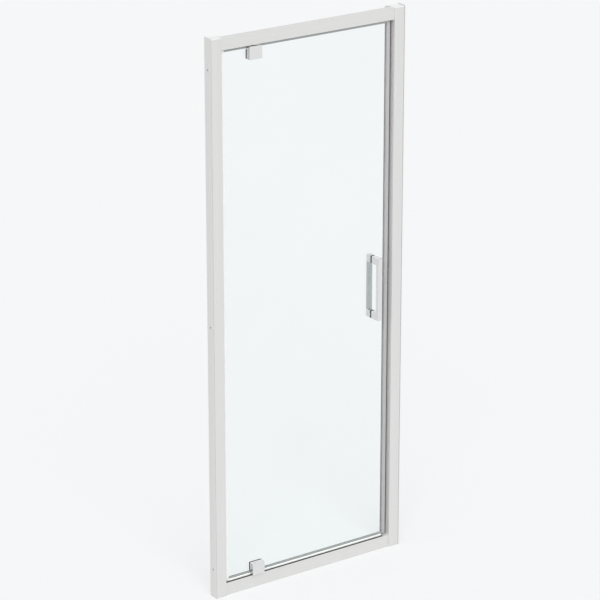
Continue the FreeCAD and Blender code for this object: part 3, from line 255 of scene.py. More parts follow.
def polished_metal(name, colour, roughness=0.1, smear=0.06):
    """Polished plating: nearly mirror, with faint finger smears and a painted highlight along its edges."""
    material, tree, shader = new_material(name)
    edges, marks = shine_groups(tree, 0.0004, 28.0, 1500.0)
    # Painted highlight: the edges are drawn a little lighter than the face.
    body = tinted(tree, edges["Edge"], colour, shifted(colour, 1.06))
    sheen = between(tree, marks["Smear"], roughness, roughness + smear)
    wave = bumped(tree, marks["Speck"], edges["Normal"], 0.02, 0.0001)
    feed(tree, shader, {"Base Color": body, "Roughness": sheen, "Normal": wave, "Metallic": 1.0})
    return material


def moulded(name, colour, roughness, grain_size=1400.0, bump=0.15, solid=1.0, edge=1.04, glow=0.0):
    """Moulded plastic or rubber: fine grain, slight cloudiness and softened edges, which edge paints lighter
    as a painted highlight.

    solid below 1 is see-through; glow is painted light, an emission that stands in for the light that a
    translucent strip lets through from behind.
    """
    material, tree, shader = new_material(name)
    edges, marks = shine_groups(tree, 0.0003, 22.0, grain_size)
    cloudy = tinted(tree, marks["Smear"], shifted(colour, 0.95), shifted(colour, 1.05))
    # Painted highlight: edges are drawn lighter by the factor edge.
    cloud_with_edge_highlight = tinted(tree, edges["Edge"], cloudy, shifted(colour, edge))
    sheen = between(tree, marks["Speck"], roughness - 0.06, roughness + 0.06)
    grain = bumped(tree, marks["Speck"], edges["Normal"], bump, 0.0001)
    feed(tree, shader, {"Base Color": cloud_with_edge_highlight, "Roughness": sheen, "Normal": grain, "Alpha": solid})
    # Painted light: the strip glows by glow, though it is no lamp.
    feed(tree, shader, {"Emission Color": cloud_with_edge_highlight, "Emission Strength": glow})
    return material


def clear_glass(name, colour, roughness):
    """Clear glass that light also passes through on its way to what stands behind it."""
    material, tree, shader = new_material(name)
    marks = use_group(tree, handling_marks, {"Smear size": 3.0, "Speck size": 900.0})
    tone = tinted(tree, marks["Smear"], shifted(colour, 0.98), colour)
    haze = between(tree, marks["Smear"], roughness, roughness + 0.01)
    feed(tree, shader, {"Base Color": tone, "Roughness": haze, "Transmission Weight": 1.0, "IOR": 1.5})
    paths = add_node(tree, "ShaderNodeLightPath")
    passing = maths(tree, "MAXIMUM", paths.outputs["Is Shadow Ray"], paths.outputs["Is Diffuse Ray"])
    through = add_node(tree, "ShaderNodeBsdfTransparent", {"Color": (*colour, 1)})
    blend_in(tree, passing, shader, through)
    return material


def finishes():
    """All materials of the door, made once, by their short names."""
    if "Satin frame, upright" in bpy.data.materials:
        return {item["finish"]: item for item in bpy.data.materials if "finish" in item}
    colours = bpy.context.scene.door_colours
    metal = colours.frame
    # How much closer the grain's lines lie along X, Y and Z.
    upright, level, even = (2600, 2600, 6), (6, 2600, 2600), (900, 900, 900)
    # The clear seals' roughness, grain and bump.
    clear = (0.3, 500.0, 0.05)
    made = {
        "upright": satin_metal("Satin frame, upright", metal, upright),
        "channel": satin_metal("Satin frame, wall side", shifted(metal, 0.95), upright),
        "level": satin_metal("Satin frame, level", metal, level),
        "caps": moulded("Moulded caps", colours.caps, 0.42),
        "glass": clear_glass("Toughened glass", colours.glass, 0.0),
        "glass_edge": clear_glass("Ground glass edge", colours.glass_edge, 0.25),
        "chrome": polished_metal("Bright plating", colours.chrome),
        # Painted shade: the outer handle's sides get a darker copy of the plating.
        "handle_side": polished_metal("Bright plating, handle", colours.handle_side, 0.12, 0.08),
        # Painted shade: the sides of the pivot plates get a darker copy of the plating.
        "chrome_side": polished_metal("Bright plating, sides", colours.chrome_side, 0.16, 0.08),
        # Painted shade: the inner handle behind the glass gets darker copies of the plating, darkest on its
        # bar.
        "inner_chrome": polished_metal("Bright plating, inside", colours.inner_chrome, 0.14, 0.08),
        "inner_leg": polished_metal("Bright plating, inner legs", colours.inner_leg, 0.14, 0.08),
        "brass": satin_metal("Turned brass", (0.72, 0.55, 0.30), (900, 900, 30), 0.3, metallic=1.0),
        "steel": satin_metal("Stainless steel", (0.63, 0.63, 0.64), even, 0.28, metallic=1.0),
        "nylon": moulded("Nylon", (0.86, 0.86, 0.82), 0.5),
        # Painted light: the upright seal glows faintly.
        "edge_seal": moulded("Clear seal, upright", colours.edge_seal, *clear, edge=1.02, glow=0.02),
        "grip": moulded("Clear seal, on the glass", colours.grip, *clear),
        # Painted light: the free lip glows at half strength, to look as bright as the lit rail top behind it.
        "lip": moulded("Clear seal, free lip", colours.lip, *clear, solid=0.85, glow=0.5),
        "grey_seal": moulded("Grey seal", colours.grey_seal, 0.45, 700.0, 0.08),
        "white_bulb": moulded("White bulb", (0.90, 0.90, 0.88), 0.4, 700.0, 0.08, solid=0.7),
        # Painted highlight: the rubber's and the magnet's edges are drawn much lighter.
        "rubber": moulded("Black rubber", colours.rubber, 0.6, 1600.0, 0.25, edge=1.6),
        # Partly painted shade: a dark grey buffer, standing for the shade on the strike's free side and in
        # the corner beside it.
        "buffer": moulded("Grey buffer", (0.16, 0.158, 0.16), 0.6, 1600.0, 0.2),
        "magnet": moulded("Bonded magnet", (0.10, 0.095, 0.09), 0.55, 2200.0, 0.3, edge=1.3),
    }
    for key, material in made.items():
        material["finish"] = key
    return made


def put_on(mesh, *names):
    """Give a mesh its finishes, in the order of its material slots."""
    mesh.materials.clear()
    for name in names:
        mesh.materials.append(finishes()[name])


def coat(nodes, finish):
    """Give CAD nodes a finish."""
    for name in nodes:
        put_on(frame["nodes"][name].data, finish)


# ---- shapes


def rounded_outline(corners, steps=5):
    """An outline whose corners, given as (x, y, radius), are rounded."""
    points = []
    count = len(corners)
    for number, (x, y, radius) in enumerate(corners):
        here = Vector((x, y))
        before = Vector(corners[number - 1][:2])
        after = Vector(corners[(number + 1) % count][:2])
        if radius <= 0:
            points.append((x, y))
            continue
        back = (before - here).normalized()
        ahead = (after - here).normalized()
        start = here + back * radius
        end = here + ahead * radius
        centre = here + (back + ahead) * radius
        for step in range(steps + 1):
            turn = step / steps * math.pi / 2
            spoke = (start - centre) * math.cos(turn) + (end - centre) * math.sin(turn)
            points.append(tuple(centre + spoke))
    return points


def put_in_scene(name, data):
    """An object at the origin that holds a mesh, a curve, a lamp or a camera."""
    item = bpy.data.objects.new(name, data)
    bpy.context.scene.collection.objects.link(item)
    return item


def smooth_mesh(mesh, angle=32):
    """Smooth shading that keeps edges sharper than the angle."""
    mesh.shade_smooth()
    mesh.set_sharp_from_angle(angle=math.radians(angle))


def clean_up(mesh):
    """Join doubled points and turn the faces outwards."""
    work = bmesh.new()
    work.from_mesh(mesh)
    bmesh.ops.remove_doubles(work, verts=work.verts, dist=1e-6)
    bmesh.ops.dissolve_degenerate(work, edges=work.edges, dist=1e-7)
    bmesh.ops.recalc_face_normals(work, faces=work.faces)
    work.to_mesh(mesh)
    work.free()


def slab(name, node, view, outline, edge, edge_steps, holes=()):
    """A plate with worked edges, as thick as a node is. Its outline and holes are drawn in X and Y."""
    low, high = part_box(node)
    axis, turn = view
    middle = Vector((0, 0, 0))
    middle[axis] = (low[axis] + high[axis]) / 2
    curve = bpy.data.curves.new(name, "CURVE")
    curve.dimensions = "2D"
    curve.fill_mode = "BOTH"
    curve.extrude = (high[axis] - low[axis]) / 2 - edge
    curve.bevel_depth = edge
    curve.bevel_resolution = edge_steps
    curve.offset = -edge
    for points in (outline, *holes):
        spline = curve.splines.new("POLY")
        spline.points.add(len(points) - 1)
        for point, (x, y) in zip(spline.points, points):
            point.co = (x, y, 0, 1)
        spline.use_cyclic_u = True
    drawing = put_in_scene(name + "_drawing", curve)
    bpy.context.view_layer.update()
    seen = drawing.evaluated_get(bpy.context.evaluated_depsgraph_get())
    mesh = bpy.data.meshes.new_from_object(seen)
    bpy.data.objects.remove(drawing)
    bpy.data.curves.remove(curve)
    mesh.transform(Matrix.Translation(middle) @ turn)
    clean_up(mesh)
    smooth_mesh(mesh)
    return put_in_scene(name, mesh)


def circle(x, y, radius, steps=32):
    """A hole's outline."""
    turns = [-2 * math.pi * step / steps for step in range(steps)]
    return [(x + radius * math.cos(turn), y + radius * math.sin(turn)) for turn in turns]


def skinned(name, stacks):
    """One piece from stacks of rings with the same count of points: each stack is closed at both ends."""
    work = bmesh.new()
    for stack in stacks:
        rings = [[work.verts.new(point) for point in ring] for ring in stack]
        count = len(rings[0])
        for low, high in zip(rings, rings[1:]):
            for here in range(count):
                after = (here + 1) % count
                work.faces.new((low[here], low[after], high[after], high[here]))
        work.faces.new(rings[0][::-1])
        work.faces.new(rings[-1])
    bmesh.ops.recalc_face_normals(work, faces=work.faces)
    mesh = bpy.data.meshes.new(name)
    work.to_mesh(mesh)
    work.free()
    smooth_mesh(mesh)
    return put_in_scene(name, mesh)


def extrusion(name, parts, axes):
    """Strips along the last axis: parts are (profile, start, end), each profile drawn across and up."""
    across, up, along = axes
    stacks = []
    for profile, *ends in parts:
        stacks.append([[across * u + up * v + along * end for u, v in profile] for end in ends])
    return skinned(name, stacks)


def channel_profile(inside, outside, grip, base, lip=0.0, blade=0.0):
    """Section of a strip that grips a glass edge: u across the glass, v away from its edge.

    The blade stands on the strip's back, leans a little and ends at the lip.
    """
    tip = (outside - inside) * 0.45
    bend = base * 0.6
    corners = [(-outside, -grip, tip), (-inside, -grip, tip), (-inside, 0, 0), (inside, 0, 0)]
    corners += [(inside, -grip, tip), (outside, -grip, tip), (outside, 0, 0), (outside, base, bend)]
    if blade > 0:
        lean = blade * 1.4
        middle = base + (lip - base) * 0.5
        corners += [
            (blade, base, 0),
            (blade * 0.8 + lean * 0.3, middle, 0),
            (blade * 0.6 + lean, lip, blade * 0.4),
            (-blade * 0.6 + lean, lip, blade * 0.4),
            (-blade * 0.8 + lean * 0.3, middle, 0),
            (-blade, base, 0),
        ]
    corners += [(-outside, base, bend), (-outside, 0, 0)]
    return rounded_outline(corners, 3)


def ribbed_profile(near, far, foot, rise, pitch):
    """Section of a strip with small ribs along its top, from near to far and from foot up."""
    count = max(1, round((far - near) / pitch))
    step = (far - near) / count
    crown = ((0.0, 0.45), (0.2, 0.92), (0.4, 1.0), (0.6, 1.0), (0.8, 0.92), (1.0, 0.45))
    points = [(near, foot), (far, foot)]
    for rib in range(count):
        right = far - rib * step
        points += [(right - part * step, foot + height * rise) for part, height in crown]
    return points


def split_across(item, *planes):
    """Cut the faces of a piece along planes, given as (point, normal), for a finish on each part."""
    work = bmesh.new()
    work.from_mesh(item.data)
    for point, normal in planes:
        everything = work.verts[:] + work.edges[:] + work.faces[:]
        bmesh.ops.bisect_plane(work, geom=everything, plane_co=point, plane_no=normal)
    work.to_mesh(item.data)
    work.free()


def faces_sideways(middle, normal):
    """Whether a face looks to the left or the right."""
    return abs(normal.x) > 0.9


def in_two_finishes(item, first, second, chosen):
    """Give the faces that chosen(middle, normal) accepts the second finish, and all others the first."""
    put_on(item.data, first, second)
    for face in item.data.polygons:
        face.material_index = 1 if chosen(face.center, face.normal) else 0


def radius_at(shape, radius, turn):
    """How far a round, hexagonal or cross-shaped ring reaches in one direction."""
    if shape == "hex":
        off = turn % (math.pi / 3) - math.pi / 6
        return radius * math.cos(math.pi / 6) / math.cos(off)
    if shape == "cross":
        off = (turn + math.pi / 4) % (math.pi / 2) - math.pi / 4
        return min(radius / math.cos(off), 0.3 * radius / max(abs(math.sin(off)), 1e-6))
    return radius


def turned(name, rings, steps=48):
    """A turned piece along Z, from rings of (radius, height) or (radius, height, shape)."""
    turns = [2 * math.pi * step / steps for step in range(steps)]
    stack = []
    for radius, height, *shape in rings:
        ring = []
        for turn in turns:
            reach = radius_at(shape[0] if shape else "round", radius, turn)
            ring.append((reach * math.cos(turn), reach * math.sin(turn), height))
        stack.append(ring)
    return skinned(name, [stack])


def grid_tree():
    """Geometry nodes that set a piece at each crossing of rows and columns."""
    name = "Pieces in rows"
    if name in bpy.data.node_groups:
        return bpy.data.node_groups[name]
    tree = bpy.data.node_groups.new(name, "GeometryNodeTree")
    wanted = {
        "Piece": "Object",
        "First": "Vector",
        "Columns": "Int",
        "Column step": "Vector",
        "Rows": "Int",
        "Row step": "Vector",
        "Material": "Material",
    }
    for label, kind in wanted.items():
        tree.interface.new_socket(label, in_out="INPUT", socket_type="NodeSocket" + kind)
    tree.interface.new_socket("Geometry", in_out="OUTPUT", socket_type="NodeSocketGeometry")
    value = tree.nodes.new("NodeGroupInput").outputs
    piece = add_node(tree, "GeometryNodeObjectInfo", {"Object": value["Piece"]}).outputs["Geometry"]
    across = {"Count": value["Columns"], "Start Location": value["First"], "Offset": value["Column step"]}
    columns = add_node(tree, "GeometryNodeMeshLine", across).outputs[0]
    upwards = {"Count": value["Rows"], "Offset": value["Row step"]}
    rows = add_node(tree, "GeometryNodeMeshLine", upwards).outputs[0]
    shape = columns
    for instance in (rows, piece):
        set_out = add_node(tree, "GeometryNodeInstanceOnPoints", {"Points": shape, "Instance": instance})
        shape = add_node(tree, "GeometryNodeRealizeInstances", {"Geometry": set_out.outputs[0]}).outputs[0]
    coated = add_node(tree, "GeometryNodeSetMaterial", {"Geometry": shape, "Material": value["Material"]})
    feed(tree, tree.nodes.new("NodeGroupOutput"), {"Geometry": coated.outputs[0]})
    return tree


def in_rows(name, piece, finish, first, columns=1, column_step=(0, 0, 0), rows=1, row_step=(0, 0, 0)):
    """Copies of a piece in rows and columns, as one plain mesh. The piece itself is used up."""
    tree = grid_tree()
    values = {
        "Piece": piece,
        "First": first,
        "Columns": columns,
        "Column step": column_step,
        "Rows": rows,
        "Row step": row_step,
        "Material": finishes()[finish],
    }
    holder = put_in_scene(name, bpy.data.meshes.new(name))
    modifier = holder.modifiers.new("Rows", "NODES")
    modifier.node_group = tree
    for socket in tree.interface.items_tree:
        if socket.in_out == "INPUT":
            modifier[socket.identifier] = values[socket.name]
    bpy.context.view_layer.update()
    seen = holder.evaluated_get(bpy.context.evaluated_depsgraph_get())
    mesh = bpy.data.meshes.new_from_object(seen)
    holder.modifiers.remove(modifier)
    holder.data = mesh
    bpy.data.objects.remove(piece)
    if len(mesh.polygons) == 0:
        raise RuntimeError(f"{name} came out empty")
    return holder


def in_corners(name, node, piece, finish, radius, seat, rows=2):
    """Copies of a turned piece that faces back, in two columns and some rows over a node's box."""
    low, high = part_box(node)
    piece.data.transform(FACING_BACK)
    first = (low.x + radius, seat, low.z + radius)
    across = (high.x - low.x - 2 * radius, 0, 0)
    up = (0, 0, (high.z - low.z - 2 * radius) / (rows - 1))
    return in_rows(name, piece, finish, first, 2, across, rows, up)


def dress(item, finish, slot, body, *nodes):
    """Finish a piece: its material, the nodes that it stands for and the body it moves with. Its slot is not
    used.
    """
    if finish:
        put_on(item.data, finish)
    if nodes:
        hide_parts(*nodes)
    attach(item, body)


# ---- settings


def colour_setting(name, description, default):
    """A colour that the user can change."""
    return bpy.props.FloatVectorProperty(
        name=name, description=description, subtype="COLOR", default=default, min=0, max=1
    )


def length_setting(name, description, default, low, high):
    """A length in metres that the user can change."""
    return bpy.props.FloatProperty(
        name=name, description=description, unit="LENGTH", default=default, min=low, max=high
    )


def strength_setting(name, description, default, high, subtype="NONE"):
    """A share or a strength, from 0 up, that the user can change."""
    return bpy.props.FloatProperty(
        name=name, description=description, subtype=subtype, default=default, min=0, max=high
    )


class DoorColours(bpy.types.PropertyGroup):
    """Colours of the door's finishes."""

    frame: colour_setting("Frame", "Satin aluminium of the frame", (0.712, 0.706, 0.697))
    caps: colour_setting("Caps", "Moulded caps on the posts", (0.88, 0.88, 0.87))
    glass: colour_setting("Glass", "Tint of the glass", (0.972, 1.0, 1.0))
    glass_edge: colour_setting("Glass edge", "Tint of the ground edge", (0.80, 0.87, 0.85))
    chrome: colour_setting("Plating", "Handles and pivot blocks", (0.80, 0.79, 0.785))
    # Painted shade: the outer handle's sides are drawn darker than its front.
    handle_side: colour_setting("Handle side", "Sides of the outer handle", (0.74, 0.735, 0.735))
    # Painted shade: the pivot plates' sides are drawn darker than their fronts.
    chrome_side: colour_setting("Plating, sides", "Sides of the blocks", (0.56, 0.56, 0.555))
    # Painted shade: the inner handle is drawn darker, as if less light reached it behind the glass.
    inner_chrome: colour_setting("Inner plating", "Inner handle's bar", (0.465, 0.485, 0.48))
    inner_leg: colour_setting("Inner legs", "Inner handle's legs", (0.68, 0.69, 0.685))
    edge_seal: colour_setting("Upright seal", "Strip on the pivot side", (0.93, 0.935, 0.93))
    grip: colour_setting("Seal on glass", "Legs of the level strips", (0.37, 0.40, 0.385))
    lip: colour_setting("Seal lip", "Free lips of the level strips", (0.90, 0.92, 0.91))
    grey_seal: colour_setting("Closing seal", "Strip on the closing side", (0.50, 0.49, 0.495))
    rubber: colour_setting("Rubber", "Gaskets and sill strip", (0.035, 0.035, 0.036))


class GlassSizes(bpy.types.PropertyGroup):
    """Sizes of the glass leaf."""

    ground_edge: length_setting("Ground edge", "Width of the ground bevel", 0.0006, 0.0002, 0.002)
    notch_half: length_setting("Half notch", "Half width of a pivot notch", 0.018, 0.005, 0.05)
    notch_depth: length_setting("Notch depth", "Depth of a pivot notch", 0.025, 0.005, 0.05)
    notch_round: length_setting("Notch corner", "Corner radius of a notch", 0.005, 0.001, 0.01)


class EdgeSizes(bpy.types.PropertyGroup):
    """Edge radii of the plated pieces and the shape of the handles."""

    handle: length_setting("Handle edge", "Radius along a handle's edges", 0.0009, 0.0002, 0.003)
    block: length_setting("Block edge", "Radius round a pivot plate", 0.001, 0.0002, 0.003)
    handle_bar: length_setting("Handle bar", "Thickness of a handle's bar", 0.0136, 0.006, 0.02)
    handle_leg: length_setting("Handle leg", "Height of a handle's leg", 0.025, 0.01, 0.04)


class SealSizes(bpy.types.PropertyGroup):
    """Sections of the flexible strips."""

    inside: length_setting("Half slot", "Half width of a strip's slot", 0.00305, 0.002, 0.006)
    base: length_setting("Back", "Thickness of a strip's back", 0.0012, 0.0005, 0.003)
    blade: length_setting("Half blade", "Half thickness of a lip", 0.0005, 0.0002, 0.001)
    rib_pitch: length_setting("Rib pitch", "Ribs of the sill strip", 0.0016, 0.0008, 0.004)
    # Painted shade: the corner bead is a dark strip that stands for the shade in the strike's corner.
    bead: length_setting("Corner bead", "Depth of the bead beside the strike", 0.0031, 0.001, 0.006)
    bulb_skin: length_setting("Bulb skin", "Skin of the hollow bulb", 0.0012, 0.0005, 0.003)
    rim: length_setting("Rim", "Softened ends of the upright hollow strips", 0.0001, 0.00005, 0.0003)


class FixingSizes(bpy.types.PropertyGroup):
    """Radii and heights of screws, rivets and covers."""

    shank: length_setting("Shank", "Small screw's shank", 0.00195, 0.001, 0.004)
    pan: length_setting("Pan head", "Small screw's head", 0.0038, 0.002, 0.008)
    pan_rise: length_setting("Pan height", "Height of that head", 0.0022, 0.001, 0.005)
    clamp_shank: length_setting("Clamp shank", "Clamp screw's shank", 0.0025, 0.001, 0.004)
    clamp: length_setting("Clamp head", "Clamp screw's head", 0.0048, 0.002, 0.008)
    clamp_rise: length_setting("Clamp height", "Height of that head", 0.0033, 0.001, 0.005)
    clamp_room: length_setting("Clamp room", "Room round that head", 0.0003, 0.0001, 0.001)
    rivet: length_setting("Rivet head", "Rivet's head", 0.0028, 0.001, 0.006)
    rivet_rise: length_setting("Rivet height", "Height of that head", 0.0008, 0.0003, 0.002)
    rivet_shank: length_setting("Rivet shank", "Rivet's shank", 0.0016, 0.0005, 0.003)
    cover: length_setting("Cover", "Radius of a screw's cover", 0.006, 0.003, 0.012)


class StageSettings(bpy.types.PropertyGroup):
    """Light and ground of the studio."""

    floor: colour_setting("Floor", "Colour of the floor", (0.90, 0.904, 0.908))
    glow: strength_setting("Floor glow", "Share of even white in the floor", 0.5, 1, "FACTOR")
    room: strength_setting("Room light", "Strength of the even light", 0.62, 2)
    key: strength_setting("Key light", "Strength of the front light", 1.30, 5)
    side: strength_setting("Side light", "Strength of the side light", 0.38, 5)


# ---- pieces


class DOOR_OT_frame(bpy.types.Operator):
    """Finish the posts, rails, channels, strike profile and caps"""

    bl_idname = "door.frame"
    bl_label = "Frame"

    def execute(self, context):
        coat(("wall_channel_left", "wall_channel_right"), "channel")
        coat(("post_left", "post_right", "strike_profile"), "upright")
        coat(("top_rail", "bottom_rail"), "level")
        coat(("post_cap_left", "post_cap_right"), "caps")
        # Partly painted shade: the strike buffer is a strip such as doors have, made dark to stand for the
        # shade on the strike's free side.
        coat(("strike_buffer",), "buffer")
        coat(("rail_screws", "adjusting_screws"), "steel")
        coat(("pivot_insert_bottom", "pivot_insert_top", "pivot_bush_bottom", "pivot_bush_top"), "nylon")
        return {"FINISHED"}


class DOOR_OT_glass(bpy.types.Operator):
    """Cut the glass leaf, with its notches, its holes and its ground edge"""

    bl_idname = "door.glass"
    bl_label = "Glass"

    def execute(self, context):
        sizes = context.scene.door_glass
        low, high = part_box("glass_panel")
        left, right = PIVOT_X - sizes.notch_half, PIVOT_X + sizes.notch_half
        foot, head = low.z + sizes.notch_depth, high.z - sizes.notch_depth
        bend = sizes.notch_round
        corners = []
        # The bottom edge is drawn from left to right, the top edge back again.
        for way, rim, end in ((1, low.z, foot), (-1, high.z, head)):
            notch = [(left, rim, 0), (left, end, bend), (right, end, bend), (right, rim, 0)]
            corners += [(low.x, rim, GLASS_CORNER), *notch, (high.x, rim, GLASS_CORNER)][::way]
        outline = rounded_outline(corners)
        stud_low, stud_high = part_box("handle_sleeves")
        hole = (stud_high.x - stud_low.x) / 2
        middle = (stud_low.x + stud_high.x) / 2
        holes = [circle(middle, level, hole) for level in (stud_low.z + hole, stud_high.z - hole)]
        leaf = slab("glass_leaf", "glass_panel", FROM_FRONT, outline, sizes.ground_edge, 0, holes)
        in_two_finishes(leaf, "glass", "glass_edge", lambda middle, normal: abs(normal.y) <= 0.99)
        for face in leaf.data.polygons:
            face.use_smooth = False
        dress(leaf, None, "glass", "door", "glass_panel")
        return {"FINISHED"}


class DOOR_OT_pivots(bpy.types.Operator):
    """Make the pivot plates and finish what they clamp"""

    bl_idname = "door.pivots"
    bl_label = "Pivot blocks"

    def execute(self, context):
        edge = context.scene.door_edges.block
        fixings = context.scene.door_fixings
        head = fixings.clamp
        for end in ("bottom", "top"):
            for side in ("outer", "inner"):
                node = f"pivot_plate_{side}_{end}"
                low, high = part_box(node)
                corners = ((low.x, low.z), (high.x, low.z), (high.x, high.z), (low.x, high.z))
                outline = rounded_outline([(x, z, PLATE_CORNER) for x, z in corners])
                holes = []
                if side == "inner":
                    screw_low, screw_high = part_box("clamp_screws")
                    level = screw_low.z + head if end == "bottom" else screw_high.z - head
                    for x in (screw_low.x + head, screw_high.x - head):
                        holes.append(circle(x, level, head + fixings.clamp_room))
                plate = slab(f"pivot_block_{side}_{end}", node, FROM_FRONT, outline, edge, 3, holes)
                # Painted shade: faces to the left and right take the darker copy.
                in_two_finishes(plate, "chrome", "chrome_side", faces_sideways)
                dress(plate, None, "chrome", "door", node)
        coat(("pin_carrier_bottom", "pin_carrier_top"), "brass")
        coat(("pivot_pin_bottom", "pivot_pin_top"), "steel")
        coat(("pivot_gaskets_outer", "pivot_gaskets_inner"), "rubber")
        return {"FINISHED"}


class DOOR_OT_handles(bpy.types.Operator):
    """Make the outer and the inner handle and finish their fixings"""

    bl_idname = "door.handles"
    bl_label = "Handles"

    def execute(self, context):
        sizes = context.scene.door_edges
        edge, leg = sizes.handle, sizes.handle_leg
        for side, face in (("outer", -1), ("inner", 1)):
            node = f"handle_{side}"
            low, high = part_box(node)
            near, far = (high.y, low.y) if face < 0 else (low.y, high.y)
            inner = far - face * sizes.handle_bar
            grip_foot, grip_head = low.z + leg, high.z - leg
            corners = (
                (near, low.z, 0),
                (far, low.z, HANDLE_CORNER),
                (far, high.z, HANDLE_CORNER),
                (near, high.z, 0),
                (near, grip_head, 0),
                (inner, grip_head, HANDLE_INSIDE_CORNER),
                (inner, grip_foot, HANDLE_INSIDE_CORNER),
                (near, grip_foot, 0),
            )
            handle = slab(f"d_handle_{side}", node, FROM_LEFT, rounded_outline(corners), edge, 3)
            if side == "outer":
                # Painted shade: faces to the left and right take the darker copy.
                in_two_finishes(handle, "chrome", "handle_side", faces_sideways)
            else:
                # Painted shade: the bar is cut apart so that its faces, except the back, take the darkest
                # copy.
                bar_start = inner - edge
                cuts = [((0, 0, level), (0, 0, 1)) for level in (grip_foot, grip_head)]
                split_across(handle, ((0, bar_start, 0), (0, 1, 0)), *cuts)

                def on_the_bar(middle, normal):
                    """Whether a face is on the bar between the legs, but not on its back: these faces take
                    the darkest painted shade.
                    """
                    return middle.y > bar_start and grip_foot < middle.z < grip_head and normal.y < 0.5

                in_two_finishes(handle, "inner_leg", "inner_chrome", on_the_bar)
            dress(handle, None, "chrome", "door", node)
        coat(("handle_gaskets_outer", "handle_gaskets_inner"), "rubber")
        coat(("handle_studs",), "steel")
        coat(("handle_sleeves",), "nylon")
        return {"FINISHED"}


class DOOR_OT_seals(bpy.types.Operator):
    """Make the flexible strips round the glass and on the frame"""

    bl_idname = "door.seals"
    bl_label = "Seals"

    def execute(self, context):
        sizes = context.scene.door_seals
        notch_half = context.scene.door_glass.notch_half
        self.make_edge_seal(sizes)
        self.make_closing_seal(sizes)
        self.make_level_seal("bottom_wiper", "wiper_strip", 1, sizes, notch_half)
        self.make_level_seal("top_seal", "top_strip", -1, sizes, notch_half)
        self.make_bulb(sizes)
        self.make_sill_strip(sizes)
        self.make_corner_bead(sizes)
        coat(("frame_magnet", "door_magnet"), "magnet")
        return {"FINISHED"}

    def make_edge_seal(self, sizes):
        """Channel down the glass edge on the pivot side."""
        low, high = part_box("pivot_edge_seal")
        edge = low.x + sizes.base
        profile = channel_profile(sizes.inside, high.y, high.x - edge, sizes.base)
        section = [(edge - v, u) for u, v in profile]
        strip = extrusion("pivot_side_strip", [(section, low.z, high.z)], UPRIGHT)
        dress(strip, "edge_seal", "clear_seal", "door", "pivot_edge_seal")

    def make_closing_seal(self, sizes):
        """Channel down the closing edge, thicker at the back, where it holds the magnet."""
        low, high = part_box("closing_edge_seal")
        slot = high.x - sizes.base
        inside = sizes.inside
        corners = (
            (low.x, low.y, 0.0003),
            (high.x, low.y, 0.0009),
            (high.x, high.y, 0.0009),
            (low.x, high.y, 0.0007),
            (low.x, inside, 0.0002),
            (slot, inside, 0),
            (slot, -inside, 0),
            (low.x, -inside, 0.0002),
        )
        first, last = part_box("door_magnet")
        room = Vector((MAGNET_ROOM, MAGNET_ROOM, 0))
        first, last = first - room, last + room
        pocket = [(first.x, first.y), (first.x, last.y), (last.x, last.y), (last.x, first.y)]
        outline = rounded_outline(corners, 4)
        strip = slab("closing_strip", "closing_edge_seal", FROM_ABOVE, outline, sizes.rim, 1, [pocket])
        dress(strip, "grey_seal", "grey_seal", "door", "closing_edge_seal")

    def make_level_seal(self, node, name, way, sizes, notch_half):
        """Channel along the top or bottom edge, in two lengths beside the pivot's notch."""
        low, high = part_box(node)
        glass_low, glass_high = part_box("glass_panel")
        if way > 0:
            edge, grip, lip = glass_low.z, high.z - glass_low.z, glass_low.z - low.z
        else:
            edge, grip, lip = glass_high.z, glass_high.z - low.z, high.z - glass_high.z
        profile = channel_profile(sizes.inside, high.y, grip, sizes.base, lip, sizes.blade)
        section = [(u, edge - way * v) for u, v in profile]
        room = notch_half + STRIP_ROOM
        spans = [(section, low.x, PIVOT_X - room), (section, PIVOT_X + room, high.x)]
        strip = extrusion(name, spans, LEVEL)
        # A little less than the back's thickness, so that its outer face counts as the lip.
        back = sizes.base * 0.99
        in_two_finishes(strip, "grip", "lip", lambda middle, normal: way * (edge - middle.z) > back)
        dress(strip, None, "clear_seal", "door", node)

    def make_bulb(self, sizes):
        """Hollow bulb on the left post, rounded towards the room."""
        low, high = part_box("pivot_side_bulb")
        skin = sizes.bulb_skin
        corners = (
            (low.x, low.y, 0.0008),
            (high.x, low.y, 0.0028),
            (high.x, high.y, 0.0006),
            (low.x, high.y, 0.0004),
        )
        hollow = (
            (low.x + skin, low.y + skin, 0.0003),
            (low.x + skin, high.y - skin, 0.0003),
            (high.x - skin, high.y - skin, 0.0003),
            (high.x - skin, low.y + skin, 0.0016),
        )
        outline, holes = rounded_outline(corners, 6), [rounded_outline(hollow)]
        bulb = slab("bulb_strip", "pivot_side_bulb", FROM_ABOVE, outline, sizes.rim, 1, holes)
        dress(bulb, "white_bulb", "white_bulb", "frame", "pivot_side_bulb")

    def make_sill_strip(self, sizes):
        """Ribbed strip on the bottom rail, narrower in front of the pivot's bush."""
        low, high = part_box("sill_strip")
        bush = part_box("pivot_bush_bottom")[1].x - PIVOT_X + BUSH_ROOM
        rise = high.z - low.z
        whole = ribbed_profile(low.y, high.y, low.z, rise, sizes.rib_pitch)
        narrow = ribbed_profile(low.y, -bush, low.z, rise, sizes.rib_pitch)
        ends = (low.x, PIVOT_X - bush, PIVOT_X + bush, high.x)
        parts = zip((whole, narrow, whole), ends, ends[1:])
        strip = extrusion("ribbed_sill_strip", parts, LEVEL)
        dress(strip, "rubber", "dark_rubber", "frame", "sill_strip")

    def make_corner_bead(self, sizes):
        """Dark bead in the corner between the strike profile and its post: painted shade, a dark strip put
        where the corner lies in shade.
        """
        strike_low, strike_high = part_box("strike_profile")
        sill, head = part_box("bottom_rail")[1].z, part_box("top_rail")[0].z
        bead = sizes.bead
        corner, back = strike_high.x, strike_low.y
        front, near = back - bead, corner - bead * 0.45
        section = (
            (corner, back),
            (near, back),
            (near, front + bead * 0.25),
            (near + bead * 0.1, front),
            (corner, front),
        )
        strip = extrusion("corner_bead", [(section, sill + STRIP_ROOM, head - STRIP_ROOM)], UPRIGHT)
        dress(strip, "buffer", "dark_rubber", "frame")


